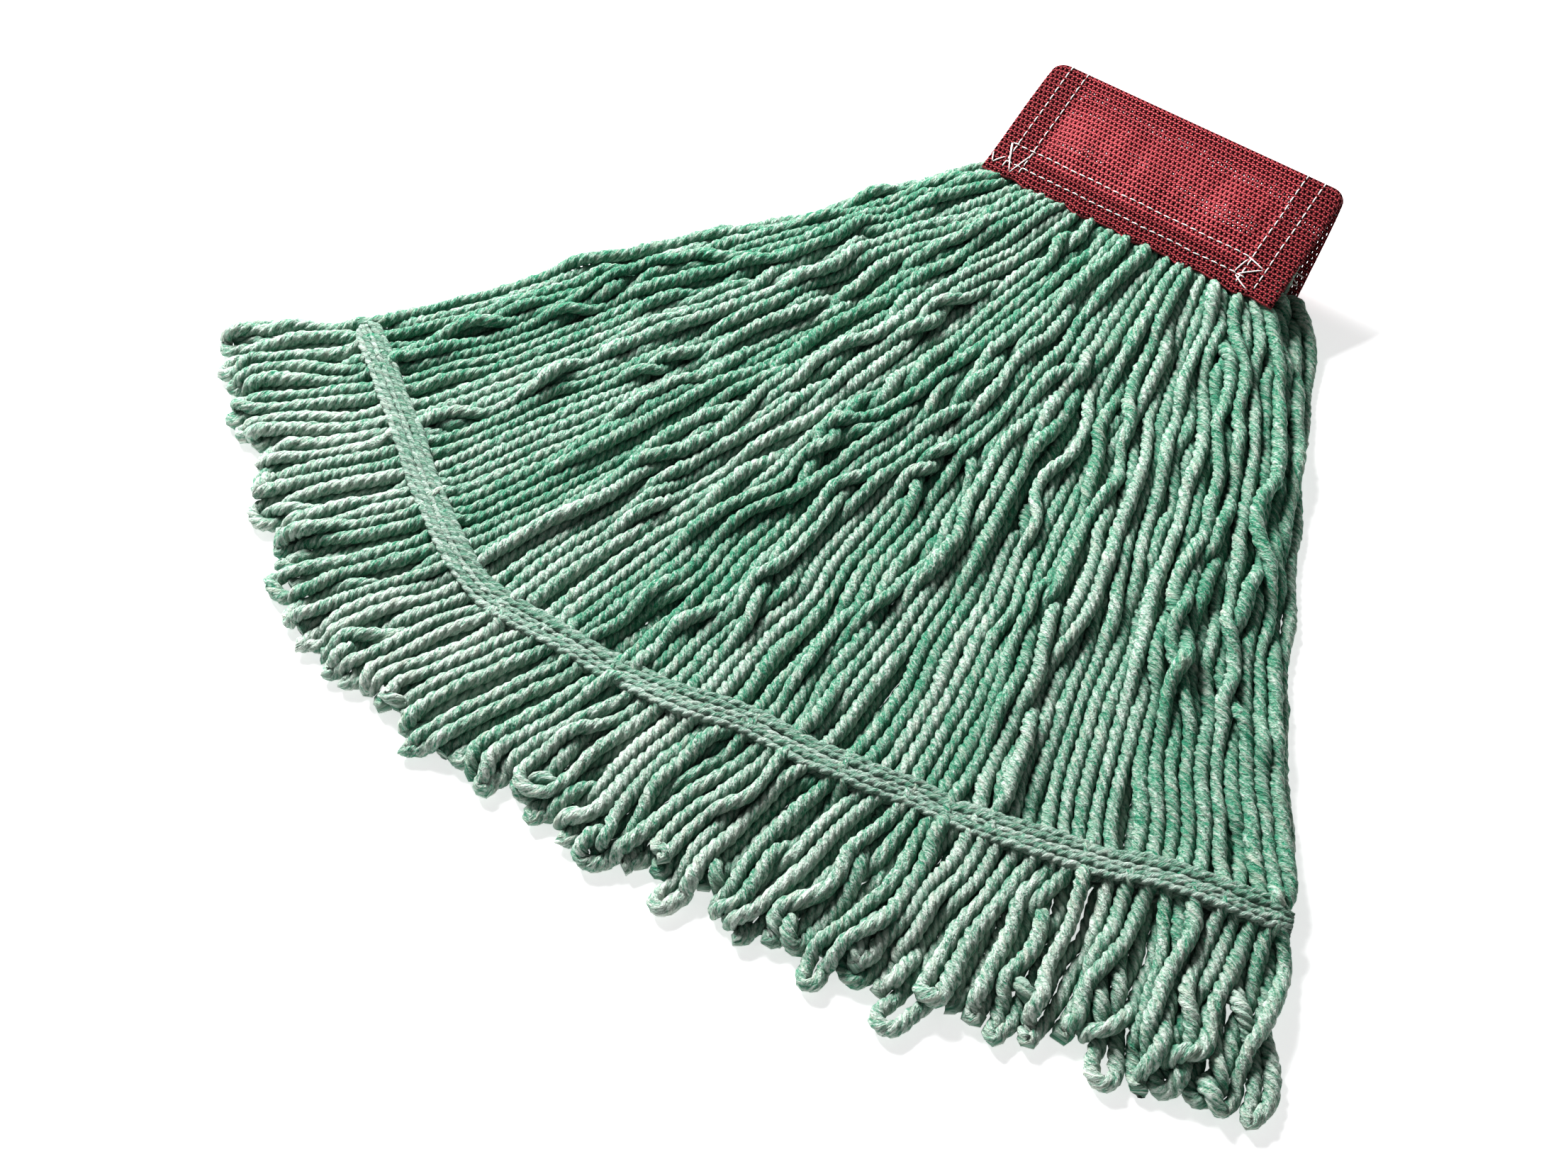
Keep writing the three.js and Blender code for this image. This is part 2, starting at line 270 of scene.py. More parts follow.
@dataclass(frozen=True)
class Layout:
    """Where the mop's parts lie, in metres in the row frame."""

    crown: np.ndarray
    crown_radius: float = 3.2 * MM
    slopes: tuple[float, float] = (23.0, 50.0)
    lengths: tuple[float, float] = (64 * MM, 54 * MM)
    band_width: float = 160 * MM
    fold_y: float = 55.5 * MM
    sewn_half_width: float = 75 * MM
    edge_y: tuple[float, float] = (-4.7 * MM, 19 * MM)
    corner_spread: float = 3 * MM
    tail_heights: tuple[float, float] = (10.3 * MM, 3.9 * MM)
    split_height: float = 12 * MM
    split_slope: float = 0.0145
    tail_points: tuple[tuple[float, float], ...] = (
        (-250, -256), (-186, -293), (-112, -334), (-37, -333),
        (37, -323), (104, -307), (170, -288), (242, -266),
    )
    loop_points: tuple[tuple[float, float], ...] = (
        (-302, -293), (-226, -348), (-134, -398), (-42, -398),
        (46, -391), (122, -381), (196, -355), (267, -334),
    )
    top_alongs: tuple[float, ...] = (0.0, 0.06, 0.15, 0.32, 0.52, 0.75, 1.0, 1.3, 1.6, 2.0)
    top_heights: tuple[float, ...] = (25.0, 26.0, 24.5, 20.5, 17.5, 15.6, 14.8, 14.2, 13.6, 11.5)

    @classmethod
    def from_frame(cls, joints: list[dict]) -> "Layout":
        """Finds the fold's centre from the fold joint, which lies on the crown's apex.

        Args:
            joints: The frame's joints.

        Returns:
            The layout.
        """
        fold = next(j for j in joints if j["name"] == "headband_fold")
        normals = [cls.normal_of(cls.slopes[0], Half.FRONT), cls.normal_of(cls.slopes[1], Half.BACK)]
        apex = normals[0] + normals[1]
        apex = apex / np.linalg.norm(apex)
        return cls(crown=np.array(fold["pos_m"]) - cls.crown_radius * apex)

    @staticmethod
    def normal_of(slope: float, half: Half) -> np.ndarray:
        """The direction out of a sloping panel.

        Args:
            slope: How far the panel slopes down, in degrees.
            half: Which panel.

        Returns:
            The unit direction.
        """
        a = math.radians(slope)
        if half is Half.FRONT:
            return np.array([0.0, -math.sin(a), math.cos(a)])
        return np.array([0.0, math.sin(a), -math.cos(a)])

    def normal(self, half: Half) -> np.ndarray:
        """The direction out of that half's panel."""
        return self.normal_of(self.slopes[half is Half.BACK], half)

    def down(self, half: Half) -> np.ndarray:
        """The direction down that half's panel, from the crown to its lower edge."""
        a = math.radians(self.slopes[half is Half.BACK])
        return np.array([0.0, -math.cos(a), -math.sin(a)])

    def length(self, half: Half) -> float:
        """The panel's length, from the crown to its lower edge."""
        return self.lengths[half is Half.BACK]

    def on_panel(self, half: Half, x: np.ndarray, along: np.ndarray, depth: np.ndarray) -> np.ndarray:
        """Points on or under a panel.

        Args:
            half: Which panel.
            x: Place along the band from its middle.
            along: Distance down the panel from the crown.
            depth: Distance inwards from the panel's outer surface.

        Returns:
            The points, shaped (..., 3).
        """
        x, along, depth = np.broadcast_arrays(x, along, depth)
        out = (
            self.crown
            + (self.crown_radius - depth)[..., None] * self.normal(half)
            + along[..., None] * self.down(half)
        )
        out[..., 0] += x
        return out

    def row_points(self, points: tuple[tuple[float, float], ...]) -> np.ndarray:
        """Turns plan points in millimetres from the band's middle into the row frame."""
        return np.array(points) * MM + [self.crown[0], self.crown[1] - self.fold_y]

    def edge_curve(self, points: tuple[tuple[float, float], ...]) -> np.ndarray:
        """A smooth evenly spaced plan curve through those points."""
        control = self.row_points(points)
        return even_line(catmull(control, np.linspace(0, len(control) - 1, CURVE_STEPS)), CURVE_STEPS + 1)

    def plan(self, half: Half, u: np.ndarray, along: np.ndarray) -> np.ndarray:
        """Plan position in a skein.

        Args:
            half: Which skein.
            u: Place across the skein, from -1 on the left to 1 on the right.
            along: 0 at the headband's edge, 1 at the tail band and 2 at the loop ends.

        Returns:
            The (x, y) points.
        """
        u, along = np.broadcast_arrays(u, along)
        at = (np.clip(u, -1.05, 1.05) + 1) * CURVE_STEPS / 2
        index = np.arange(CURVE_STEPS + 1)
        tail, tips = (
            np.stack([np.interp(at, index, curve[:, k]) for k in range(2)], -1)
            for curve in (self.edge_curve(self.tail_points), self.edge_curve(self.loop_points))
        )
        edge_y = self.crown[1] - self.fold_y + self.edge_y[half is Half.BACK]
        start = np.stack([self.crown[0] + u * self.sewn_half_width, np.full(u.shape, edge_y)], -1)
        fan = np.clip(along, 0, 1)[..., None]
        loop = np.clip(along - 1, 0, 1.4)[..., None]
        out = start + (tail - start) * fan + (tips - tail) * loop
        near = np.clip(along, 0, 1) / 0.1
        out[..., 0] += self.corner_spread * u**3 * near * np.exp(1 - near)
        return out

    def tail_line(self, half: Half, u: np.ndarray) -> Pair:
        """The tail band's slight waves over the uneven yarn.

        Args:
            half: Which skein.
            u: Place across the skein.

        Returns:
            The along value of the band's middle and the height of the yarn in it.
        """
        turn = TURN * u
        calm = smooth_step((u + 0.75) / 0.7)
        drift = (0.010 * np.sin(turn * 1.4 + 2.4) + 0.006 * np.sin(turn * 3.1 + 2.0)) * calm
        rise = (1.4 * np.sin(turn * 1.45 + 0.3) + 0.9 * np.sin(turn * 3.7 + 0.2)) * calm
        if half is Half.BACK:
            return 1 - drift, np.full(np.shape(u), self.tail_heights[1])
        return 1 + drift, self.tail_heights[0] + (1.0 + rise) * MM

    def split(self, y: np.ndarray) -> np.ndarray:
        """Height of the plane between the two skeins at that row-frame y."""
        local = y - self.crown[1] + self.fold_y
        return self.split_height + self.split_slope * local

    def top(self, along: np.ndarray) -> np.ndarray:
        """Height of the front skein's upper surface."""
        return np.interp(along, self.top_alongs, np.array(self.top_heights) * MM)


# ---------------------------------------------------------------------------
# Finishes
# ---------------------------------------------------------------------------


SHADER_INPUTS = {
    "roughness": "Roughness",
    "specular": "Specular IOR Level",
    "sheen": "Sheen Weight",
    "sheen_roughness": "Sheen Roughness",
    "glow": "Emission Strength",
}


class Graph:
    """A material's node tree, with short ways to add and join nodes."""

    def __init__(self, name: str) -> None:
        """Makes an empty material with its shader and output.

        Args:
            name: The material's name.
        """
        self.material = bpy.data.materials.new(name)
        self.material.use_nodes = True
        self.tree = self.material.node_tree
        self.tree.nodes.clear()
        self.shader = self.add("ShaderNodeBsdfPrincipled")
        output = self.add("ShaderNodeOutputMaterial")
        self.join(self.shader, "BSDF", output, "Surface")

    def add(self, kind: str, **settings: object) -> bpy.types.Node:
        """Adds a node.

        Args:
            kind: The node's type.
            settings: Its properties.

        Returns:
            The node.
        """
        node = self.tree.nodes.new(kind)
        for key, value in settings.items():
            setattr(node, key, value)
        return node

    def join(self, a: bpy.types.Node, out: str | int, b: bpy.types.Node, into: str | int) -> None:
        """Links one node's output to another's input."""
        self.tree.links.new(a.outputs[out], b.inputs[into])

    def feed(self, node: bpy.types.Node, into: str | int, value: Socket | Rgb | float) -> None:
        """Gives a node's input a link or a constant.

        Args:
            node: The node.
            into: Its input.
            value: Another node's output, a colour or a number.
        """
        if isinstance(value, tuple) and isinstance(value[0], bpy.types.Node):
            self.join(*value, node, into)
        else:
            node.inputs[into].default_value = (*value, 1.0) if isinstance(value, tuple) else value

    def dress(self, **values: float) -> None:
        """Sets the shader's inputs by their short names."""
        for name, value in values.items():
            self.shader.inputs[SHADER_INPUTS[name]].default_value = value

    def noise(self, vector: bpy.types.Node, out: str | int, scale: float, detail: float) -> bpy.types.Node:
        """Adds a noise texture.

        Args:
            vector: The node that gives its coordinates.
            out: That node's output.
            scale: The noise's scale.
            detail: Its detail.

        Returns:
            The noise node.
        """
        node = self.add("ShaderNodeTexNoise")
        for name, value in (("Scale", scale), ("Detail", detail), ("Roughness", 0.6)):
            node.inputs[name].default_value = value
        self.join(vector, out, node, "Vector")
        return node

    def uv_noise(self, uv: bpy.types.Node, across: float, along: float, detail: float) -> bpy.types.Node:
        """Adds a noise that is stretched along the UV map.

        Args:
            uv: The UV map's node.
            across: Scale across the map.
            along: Scale along it.
            detail: The noise's detail.

        Returns:
            The noise node.
        """
        mapping = self.add("ShaderNodeMapping")
        mapping.inputs["Scale"].default_value = (across, along, 1)
        self.join(uv, 0, mapping, "Vector")
        return self.noise(mapping, 0, 1.0, detail)

    def ramp(self, source: bpy.types.Node, out: str | int, stops: list[tuple[float, Rgb]]) -> bpy.types.Node:
        """Adds a colour ramp.

        Args:
            source: The node that it reads.
            out: That node's output.
            stops: Places and colours.

        Returns:
            The ramp node.
        """
        node = self.add("ShaderNodeValToRGB")
        elements = node.color_ramp.elements
        while len(elements) < len(stops):
            elements.new(0.5)
        for element, (place, colour) in zip(elements, stops):
            element.position = place
            element.color = (*colour, 1.0)
        self.join(source, out, node, "Fac")
        return node

    def spread(self, source: bpy.types.Node, out: str | int, low: float, high: float) -> bpy.types.Node:
        """Stretches a range of values to 0 to 1.

        Args:
            source: The node that it reads.
            out: That node's output.
            low: The value that becomes 0.
            high: The value that becomes 1.

        Returns:
            The node, whose output is "Result".
        """
        node = self.add("ShaderNodeMapRange")
        node.inputs["From Min"].default_value = low
        node.inputs["From Max"].default_value = high
        self.join(source, out, node, "Value")
        return node

    def mix(self, factor: Socket, a: Socket, b: Rgb) -> bpy.types.Node:
        """Adds a mix of a colour output and a plain colour.

        Args:
            factor: How much of the second.
            a: The first, a node's output.
            b: The second.

        Returns:
            The mix node, whose output is number 2.
        """
        node = self.add("ShaderNodeMix", data_type="RGBA")
        for into, value in ((0, factor), (6, a), (7, b)):
            self.feed(node, into, value)
        return node

    def math(self, operation: str, *values: Socket | float) -> bpy.types.Node:
        """Adds a maths node.

        Args:
            operation: What it does.
            values: Its inputs, in order.

        Returns:
            The node, whose output is number 0.
        """
        node = self.add("ShaderNodeMath", operation=operation)
        for into, value in enumerate(values):
            self.feed(node, into, value)
        return node

    def parts(self, attribute: str) -> bpy.types.Node:
        """Adds a colour attribute, split into its channels."""
        node = self.add("ShaderNodeSeparateColor")
        self.join(self.add("ShaderNodeAttribute", attribute_name=attribute), "Color", node, 0)
        return node

    def bump(self, height: bpy.types.Node, out: str | int, strength: float, distance: float) -> None:
        """Adds a bump to the shader.

        Args:
            height: The node that gives its height.
            out: That node's output.
            strength: The bump's strength.
            distance: How far it stands out, in metres.
        """
        node = self.add("ShaderNodeBump")
        node.inputs["Strength"].default_value = strength
        node.inputs["Distance"].default_value = distance
        self.join(height, out, node, "Height")
        self.join(node, "Normal", self.shader, "Normal")


def linear(red: int, green: int, blue: int) -> Rgb:
    """A display colour of 0 to 255 a channel as the shader's linear colour."""
    return tuple(((c / 255 + 0.055) / 1.055) ** 2.4 if c > 10 else c / 3295 for c in (red, green, blue))


def grey(level: float) -> Rgb:
    """A grey of that level."""
    return level, level, level


@dataclass(frozen=True)
class YarnFinish:
    """Green cotton and rayon blend yarn: mottled plies with pale fibres and flecks, and painted shade in the ply
    creases and where strands lie close.
    """

    name: str = "green_blend_yarn"
    deep: Rgb = linear(36, 122, 90)
    body: Rgb = linear(118, 158, 138)
    pale: Rgb = linear(192, 204, 194)
    grey: Rgb = linear(176, 182, 168)
    # painted shade: the colour mixed in at ply creases and where other strands lie close
    crevice_shade: Rgb = linear(20, 100, 74)
    fleck: Rgb = linear(228, 224, 208)
    strand_weight: float = 0.24
    ply_weight: float = 0.20
    fibre_weight: float = 1.7
    tone_range: tuple[float, float] = (1.28, 1.90)
    bump_height: float = 0.0013

    def build(self) -> bpy.types.Material:
        """Makes the material, which reads the yarn's UV map and its attribute of random tones, painted light and
        painted shade.

        Returns:
            The material.
        """
        g = Graph(self.name)
        uv = g.add("ShaderNodeUVMap", uv_map="UVMap")
        tone_and_painted_light = g.parts("tone_and_painted_light")
        blotch = g.uv_noise(uv, 7, 90, 3.0)
        fibre = g.uv_noise(uv, 18, 300, 4.0)
        strand = g.math("MULTIPLY_ADD", (tone_and_painted_light, 0), self.strand_weight, (blotch, "Fac"))
        ply = g.math("MULTIPLY_ADD", (tone_and_painted_light, 1), self.ply_weight, (strand, 0))
        whole = g.math("MULTIPLY_ADD", (fibre, "Fac"), self.fibre_weight, (ply, 0))
        level = g.spread(whole, 0, *self.tone_range)
        base = g.ramp(level, "Result", [(0.08, self.deep), (0.45, self.body), (0.92, self.pale)])
        greyed = g.ramp(g.uv_noise(uv, 9, 40, 2.0), "Fac", [(0.5, grey(0)), (0.72, grey(0.8))])
        toned = g.mix((greyed, 0), (base, 0), self.grey)
        flecks = g.ramp(g.uv_noise(uv, 44, 640, 1.0), "Fac", [(0.68, grey(0)), (0.74, grey(0.9))])
        flecked = g.mix((flecks, 0), (toned, 2), self.fleck)
        # painted shade: the third attribute channel darkens ply creases and the sides that face close strands
        shaded = g.mix((tone_and_painted_light, 2), (flecked, 2), self.crevice_shade)
        g.join(shaded, 2, g.shader, "Base Color")
        g.dress(roughness=0.92, specular=0.12, sheen=0.05, sheen_roughness=0.5)
        wrinkle = g.uv_noise(uv, 14, 240, 3.0)
        height = g.math("MULTIPLY_ADD", (wrinkle, "Fac"), 1.2, (fibre, "Fac"))
        g.bump(height, 0, 1.0, self.bump_height)
        return g.material


@dataclass(frozen=True)
class KnitFinish:
    """Open warp-knit mesh: rows of small loops, with a painted sheen over the field and painted shade at the
    hems, hole rims and loop grooves.
    """

    name: str
    dark: Rgb
    body: Rgb
    light: Rgb
    bump_height: float = 0.0005

    def build(self) -> bpy.types.Material:
        """Makes the material, which counts loops in the cloth's UV map and reads its attribute of painted sheen
        and painted shade.

        Returns:
            The material.
        """
        g = Graph(self.name)
        uv = g.add("ShaderNodeUVMap", uv_map="UVMap")
        axes = g.add("ShaderNodeSeparateXYZ")
        g.join(uv, 0, axes, 0)
        leg = g.math("PINGPONG", (axes, 0), 0.5)
        slant = g.math("MULTIPLY_ADD", (axes, 1), 2.0, (leg, 0))
        rows = g.math("SINE", (g.math("MULTIPLY", (slant, 0), TURN), 0))
        rib = g.math("COSINE", (g.math("MULTIPLY", (leg, 0), 2 * TURN), 0))
        loops = g.math("MULTIPLY_ADD", (rib, 0), 0.5, (rows, 0))
        fibre = g.uv_noise(uv, 9, 5, 3.0)
        height = g.math("MULTIPLY_ADD", (fibre, "Fac"), 1.6, (loops, 0))
        level = g.spread(height, 0, -0.6, 2.2)
        # painted shade in the loops' grooves and painted highlight on their raised tops, following the bump
        # height
        colour = g.ramp(level, "Result", [(0.44, self.dark), (0.58, self.body), (0.74, self.light)])
        # painted sheen: pale streaks mixed into the middle of the field (first channel); painted shade: darker
        # hems and hole rims (second channel)
        sheen_and_shade = g.parts("sheen_and_shade")
        streak = g.ramp(g.uv_noise(uv, 0.22, 0.05, 3.0), "Fac", [(0.36, grey(0.06)), (0.62, grey(0.62))])
        sheen_mask = g.math("MULTIPLY", (streak, 0), (sheen_and_shade, 0))
        bright = g.mix((sheen_mask, 0), (colour, 0), self.light)
        base = g.mix((sheen_and_shade, 1), (bright, 2), self.dark)
        g.join(base, 2, g.shader, "Base Color")
        g.dress(roughness=0.66, specular=0.10, sheen=0.0)
        g.bump(height, 0, 1.0, self.bump_height)
        return g.material


@dataclass(frozen=True)
class ThreadFinish:
    """Twisted sewing thread with fine slanting plies."""

    name: str
    shade: Rgb
    light: Rgb
    ply_scale: float = 900.0
    bump_height: float = 0.0002

    def build(self) -> bpy.types.Material:
        """Makes the material, which reads object coordinates.

        Returns:
            The material.
        """
        g = Graph(self.name)
        coords = g.add("ShaderNodeTexCoord")
        plies = g.add("ShaderNodeTexWave", wave_type="BANDS", bands_direction="DIAGONAL")
        plies.inputs["Scale"].default_value = self.ply_scale
        plies.inputs["Distortion"].default_value = 1.5
        g.join(coords, "Object", plies, "Vector")
        colour = g.ramp(plies, "Fac", [(0.1, self.shade), (0.7, self.light)])
        g.join(colour, 0, g.shader, "Base Color")
        g.dress(roughness=0.6, sheen=0.2)
        g.bump(plies, "Fac", 0.5, self.bump_height)
        return g.material


# ---------------------------------------------------------------------------
# Yarn
# ---------------------------------------------------------------------------


@dataclass
class YarnPile:
    """The loops of both skeins, laid out by plan and settled on each other under their weight."""

    layout: Layout
    loops: int = 40
    beads: int = 236
    radius: float = 3.15 * MM
    packed: float = 0.93
    sewn_radius: float = 1.8 * MM
    stray_limit: float = 7 * MM
    sewn_depth: float = 5.3 * MM
    sewn_run: float = 20 * MM
    sewn_ease: float = 12 * MM
    band_squeeze: float = 0.45 * MM
    sewn_scatter: float = 3.2 * MM
    tail_scatter: float = 1.6 * MM
    level_waver: float = 0.30
    stray_share: float = 0.28
    stray_reach: float = 9.0
    rounds: int = 140
    sink_steps: tuple[float, float] = (0.16 * MM, 0.05 * MM)
    reach: float = 8.2 * MM
    slide_limit: float = 3.6 * MM
    shade_reach: float = 9.5 * MM
    seed: int = 11
    sectors: int = 12
    lines: np.ndarray = field(init=False)
    radii: np.ndarray = field(init=False)
    cover: np.ndarray = field(init=False)

    def __post_init__(self) -> None:
        """Lays the loops, settles them and finds where they lie close together."""
        rng = np.random.default_rng(self.seed)
        front, front_marks = self.lay(Half.FRONT, rng)
        back, back_marks = self.lay(Half.BACK, rng)
        lines = np.concatenate([front, back])
        marks = np.concatenate([front_marks, back_marks])
        self.radii = self.bead_radii(lines, marks)
        self.lines = self.settle(lines, marks)
        self.cover = self.covered()

    def lay(self, half: Half, rng: np.random.Generator) -> Pair:
        """Draws a skein's loops before they settle.

        Args:
            half: Which skein.
            rng: The seeded generator.

        Returns:
            The loops' points, shaped (loops, beads, 3), and the bead numbers of the two tail crossings.
        """
        strands = self.loops * 2
        u = (np.arange(strands) + 0.5) / strands * 2 - 1
        sew_u = np.clip(u + rng.normal(0, 0.014, strands), -0.985, 0.985)
        u = u + np.clip(rng.normal(0, 0.34, strands), -0.6, 0.6) / self.loops
        phases = rng.uniform(0, 1, (strands, 8))
        layer = (np.arange(strands) % 3) / 2
        rng.shuffle(layer.reshape(-1, 2), axis=0)
        lines, marks = [], []
        for loop in range(self.loops):
            legs, runs = [], []
            turn = self.fringe(half, u[2 * loop], u[2 * loop + 1], rng)
            for side in (0, 1):
                k = 2 * loop + side
                leg = self.leg(half, u[k], sew_u[k], layer[k], phases[k])
                legs.append(leg)
                runs.append(run_length(leg))
            whole = np.concatenate([legs[0], turn, legs[1][::-1]])
            total = run_length(whole)
            lines.append(even_line(whole, self.beads))
            marks.append([round(part * (self.beads - 1)) for part in (runs[0] / total, 1 - runs[1] / total)])
        return np.array(lines), np.array(marks)

    def leg(self, half: Half, u: float, sew_u: float, layer: float, phase: np.ndarray) -> np.ndarray:
        """One strand from inside the headband to the tail band.

        Args:
            half: Which skein.
            u: Place across the skein at the tail band.
            sew_u: Place across the skein at the seam.
            layer: 0 for a strand low in the skein, 1 for one on top.
            phase: Eight random numbers from 0 to 1 that shape the strand's waves.

        Returns:
            The points, shaped (n, 3).
        """
        place = self.layout
        a = np.linspace(0, 1, 90)
        envelope = np.sin(np.pi * a) ** 0.7
        across = sew_u + (u - sew_u) * smooth_step(a)
        bunch = 0.020 * envelope * np.sin(TURN * (4.3 * across + 0.5 * a + 0.3 * np.sin(7 * across)))
        bunch = bunch + 0.012 * envelope * np.sin(TURN * (9.7 * across - 0.8 * a))
        tail_along, tail_height = place.tail_line(half, np.array(u))
        flat = place.plan(half, across + bunch, a * tail_along)
        stray = max(0.0, phase[6] - 1 + self.stray_share) / self.stray_share
        stray *= self.stray_reach * math.copysign(1.0, phase[7] - 0.5)
        sway = (
            5.0 * np.sin(TURN * (0.9 * a + 1.1 * across + 0.17))
            + 3.0 * np.sin(TURN * (1.8 * a - 2.3 * across + 0.61))
            + 2.0 * np.sin(TURN * ((1.2 + phase[0]) * a + phase[1]))
            + 1.2 * np.sin(TURN * ((4.5 + 3 * phase[2]) * a + phase[3]))
            + stray * np.sin(np.pi * a * (1 + 0.8 * phase[7]))
        )
        flat[:, 0] += envelope * sway * MM
        bottom = place.split(flat[:, 1]) if half is Half.FRONT else np.zeros(len(a))
        top = place.top(a) if half is Half.FRONT else place.split(flat[:, 1])
        waver = self.level_waver * np.sin(TURN * ((0.8 + phase[4]) * a + phase[5]))
        level = np.clip(layer + waver, 0, 1)
        z = bottom + self.radius + (top - bottom - 2 * self.radius) * level
        settle = smooth_step((a - 0.8) / 0.2)
        z = z * (1 - settle) + (float(tail_height) + (layer - 0.5) * self.tail_scatter) * settle
        fan = np.concatenate([flat, z[:, None]], 1)
        depth = self.sewn_depth + (layer - 0.5) * self.sewn_scatter * (-1 if half is Half.FRONT else 1)
        length = place.length(half)
        x = sew_u * place.sewn_half_width
        inside = place.on_panel(half, x, np.linspace(length - self.sewn_run, length, 6)[:-1], depth)
        reach = place.on_panel(half, x, length + a * 0.30, depth)
        ease = smooth_step(a / 0.09)[:, None]
        return np.concatenate([inside, reach * (1 - ease) + fan * ease])

    def fringe(self, half: Half, u_in: float, u_out: float, rng: np.random.Generator) -> np.ndarray:
        """The loop below the tail band, from one leg round to the other.

        Args:
            half: Which skein.
            u_in: Place across the skein of the first leg.
            u_out: Place across the skein of the second leg.
            rng: The seeded generator.

        Returns:
            The points, shaped (n, 3).
        """
        place = self.layout
        front = 1.0 if half is Half.FRONT else 0.0
        middle = (u_in + u_out) / 2
        wild = smooth_step(np.array((middle - 0.1) / 0.8)).item()
        tip = 1.90 + rng.normal(0, 0.07) + 0.05 * front
        sway = rng.normal(0, 0.012 + 0.012 * wild)
        bend = rng.normal(0, 1.8 + 1.4 * wild) * MM
        roll = float(np.clip(rng.normal(0, 0.75 + 0.4 * wild), -1.2, 1.2))
        curl_by = rng.uniform(0.6, 1.6) * MM
        turns = rng.uniform(1.2, 2.2)
        curl = curl_by * np.sin(TURN * (turns * np.linspace(0, 1, 25) + rng.uniform()))
        open_by = 2.4 * MM * max(0.0, rng.uniform(-1.8, 1.0))
        lift = abs(rng.normal(0, 2.2 + 1.0 * wild)) * MM
        t = np.linspace(0, 1, 26)[1:]
        tail_along, tail_height = (float(v) for v in place.tail_line(half, np.array(middle)))
        centre = place.plan(half, middle + sway * t, tail_along + (tip - tail_along) * t)
        ahead = headings(centre)
        aside = -beside_of(ahead)
        centre = centre + aside * (bend * np.sin(np.pi * 1.3 * t) + curl * t**0.5)[:, None]
        height = tail_height + lift * np.sin(np.pi * t * 0.9)
        height += front * MM * np.exp(-(((t - 0.2) / 0.14) ** 2))
        height -= (0.6 + 1.2 * front) * MM * t
        start, end = place.plan(half, np.array([u_in, u_out]), np.array([1.0, 1.0]))
        gap = np.linalg.norm(end - start) / 2
        sign = math.copysign(1.0, float(np.dot(end - start, aside[0])))
        near = 3.1 * MM + open_by * np.sin(np.pi * t) ** 0.5
        flare = 2.5 * MM * np.exp(-(((t - 0.97) / 0.13) ** 2))
        half_gap = (gap + (near - gap) * smooth_step(t * 2.4) + flare)[:, None]
        angle = roll * smooth_step(t)[:, None]
        side = np.concatenate([aside * half_gap * np.cos(angle) * sign, half_gap * np.sin(angle)], 1)
        spine = np.concatenate([centre, height[:, None]], 1)
        first, second = spine - side, spine + side
        arc = np.linspace(0, np.pi, 9)[1:-1]
        last_side, forward = side[-1], np.append(ahead[-1], 0.0)
        cap = spine[-1] - np.cos(arc)[:, None] * last_side + np.sin(arc)[:, None] * forward * half_gap[-1]
        return np.concatenate([first, cap, second[::-1]])

    def bead_radii(self, lines: np.ndarray, marks: np.ndarray) -> np.ndarray:
        """The yarn's radius at each bead: pressed flat where it is sewn, full where it is free.

        Args:
            lines: The loops' points.
            marks: Bead numbers of the tail crossings.

        Returns:
            The radii, shaped (loops, beads).
        """
        step = np.linalg.norm(np.diff(lines, axis=1), axis=2).mean(1)
        bead = np.arange(self.beads)[None, :]
        from_end = np.minimum(bead, self.beads - 1 - bead) * step[:, None]
        free = smooth_step((from_end - self.sewn_run + 3 * MM) / self.sewn_ease)
        radii = self.sewn_radius + (self.radius - self.sewn_radius) * free
        for mark in marks.T:
            near = np.abs(bead - mark[:, None]) * step[:, None]
            radii = radii - self.band_squeeze * np.exp(-((near / (6.0 * MM)) ** 2))
        return radii

    def neighbours(self, flat: np.ndarray, reach: float) -> Pair:
        """Pairs of beads of different runs that lie near each other.

        Args:
            flat: All beads, shaped (n, 3).
            reach: The largest distance of a pair.

        Returns:
            The two bead numbers of each pair.
        """
        cell = np.floor(flat / reach).astype(np.int64)
        cell = cell - cell.min(0) + 1
        width = cell.max(0) + 3
        key = (cell[:, 0] * width[1] + cell[:, 1]) * width[2] + cell[:, 2]
        order = np.argsort(key, kind="stable")
        ordered = key[order]
        firsts, seconds = [], []
        for dx in (-1, 0, 1):
            for dy in (-1, 0, 1):
                wanted = key + (dx * width[1] + dy) * width[2]
                low = np.searchsorted(ordered, wanted - 1, "left")
                high = np.searchsorted(ordered, wanted + 1, "right")
                many = high - low
                first = np.repeat(np.arange(len(flat)), many)
                start = np.repeat(low - np.concatenate([[0], np.cumsum(many)[:-1]]), many)
                second = order[start + np.arange(len(first))]
                keep = first < second
                firsts.append(first[keep])
                seconds.append(second[keep])
        first, second = np.concatenate(firsts), np.concatenate(seconds)
        near = ((flat[first] - flat[second]) ** 2).sum(1) < reach**2
        same = (first // self.beads == second // self.beads) & (np.abs(first - second) < 5)
        return first[near & ~same], second[near & ~same]

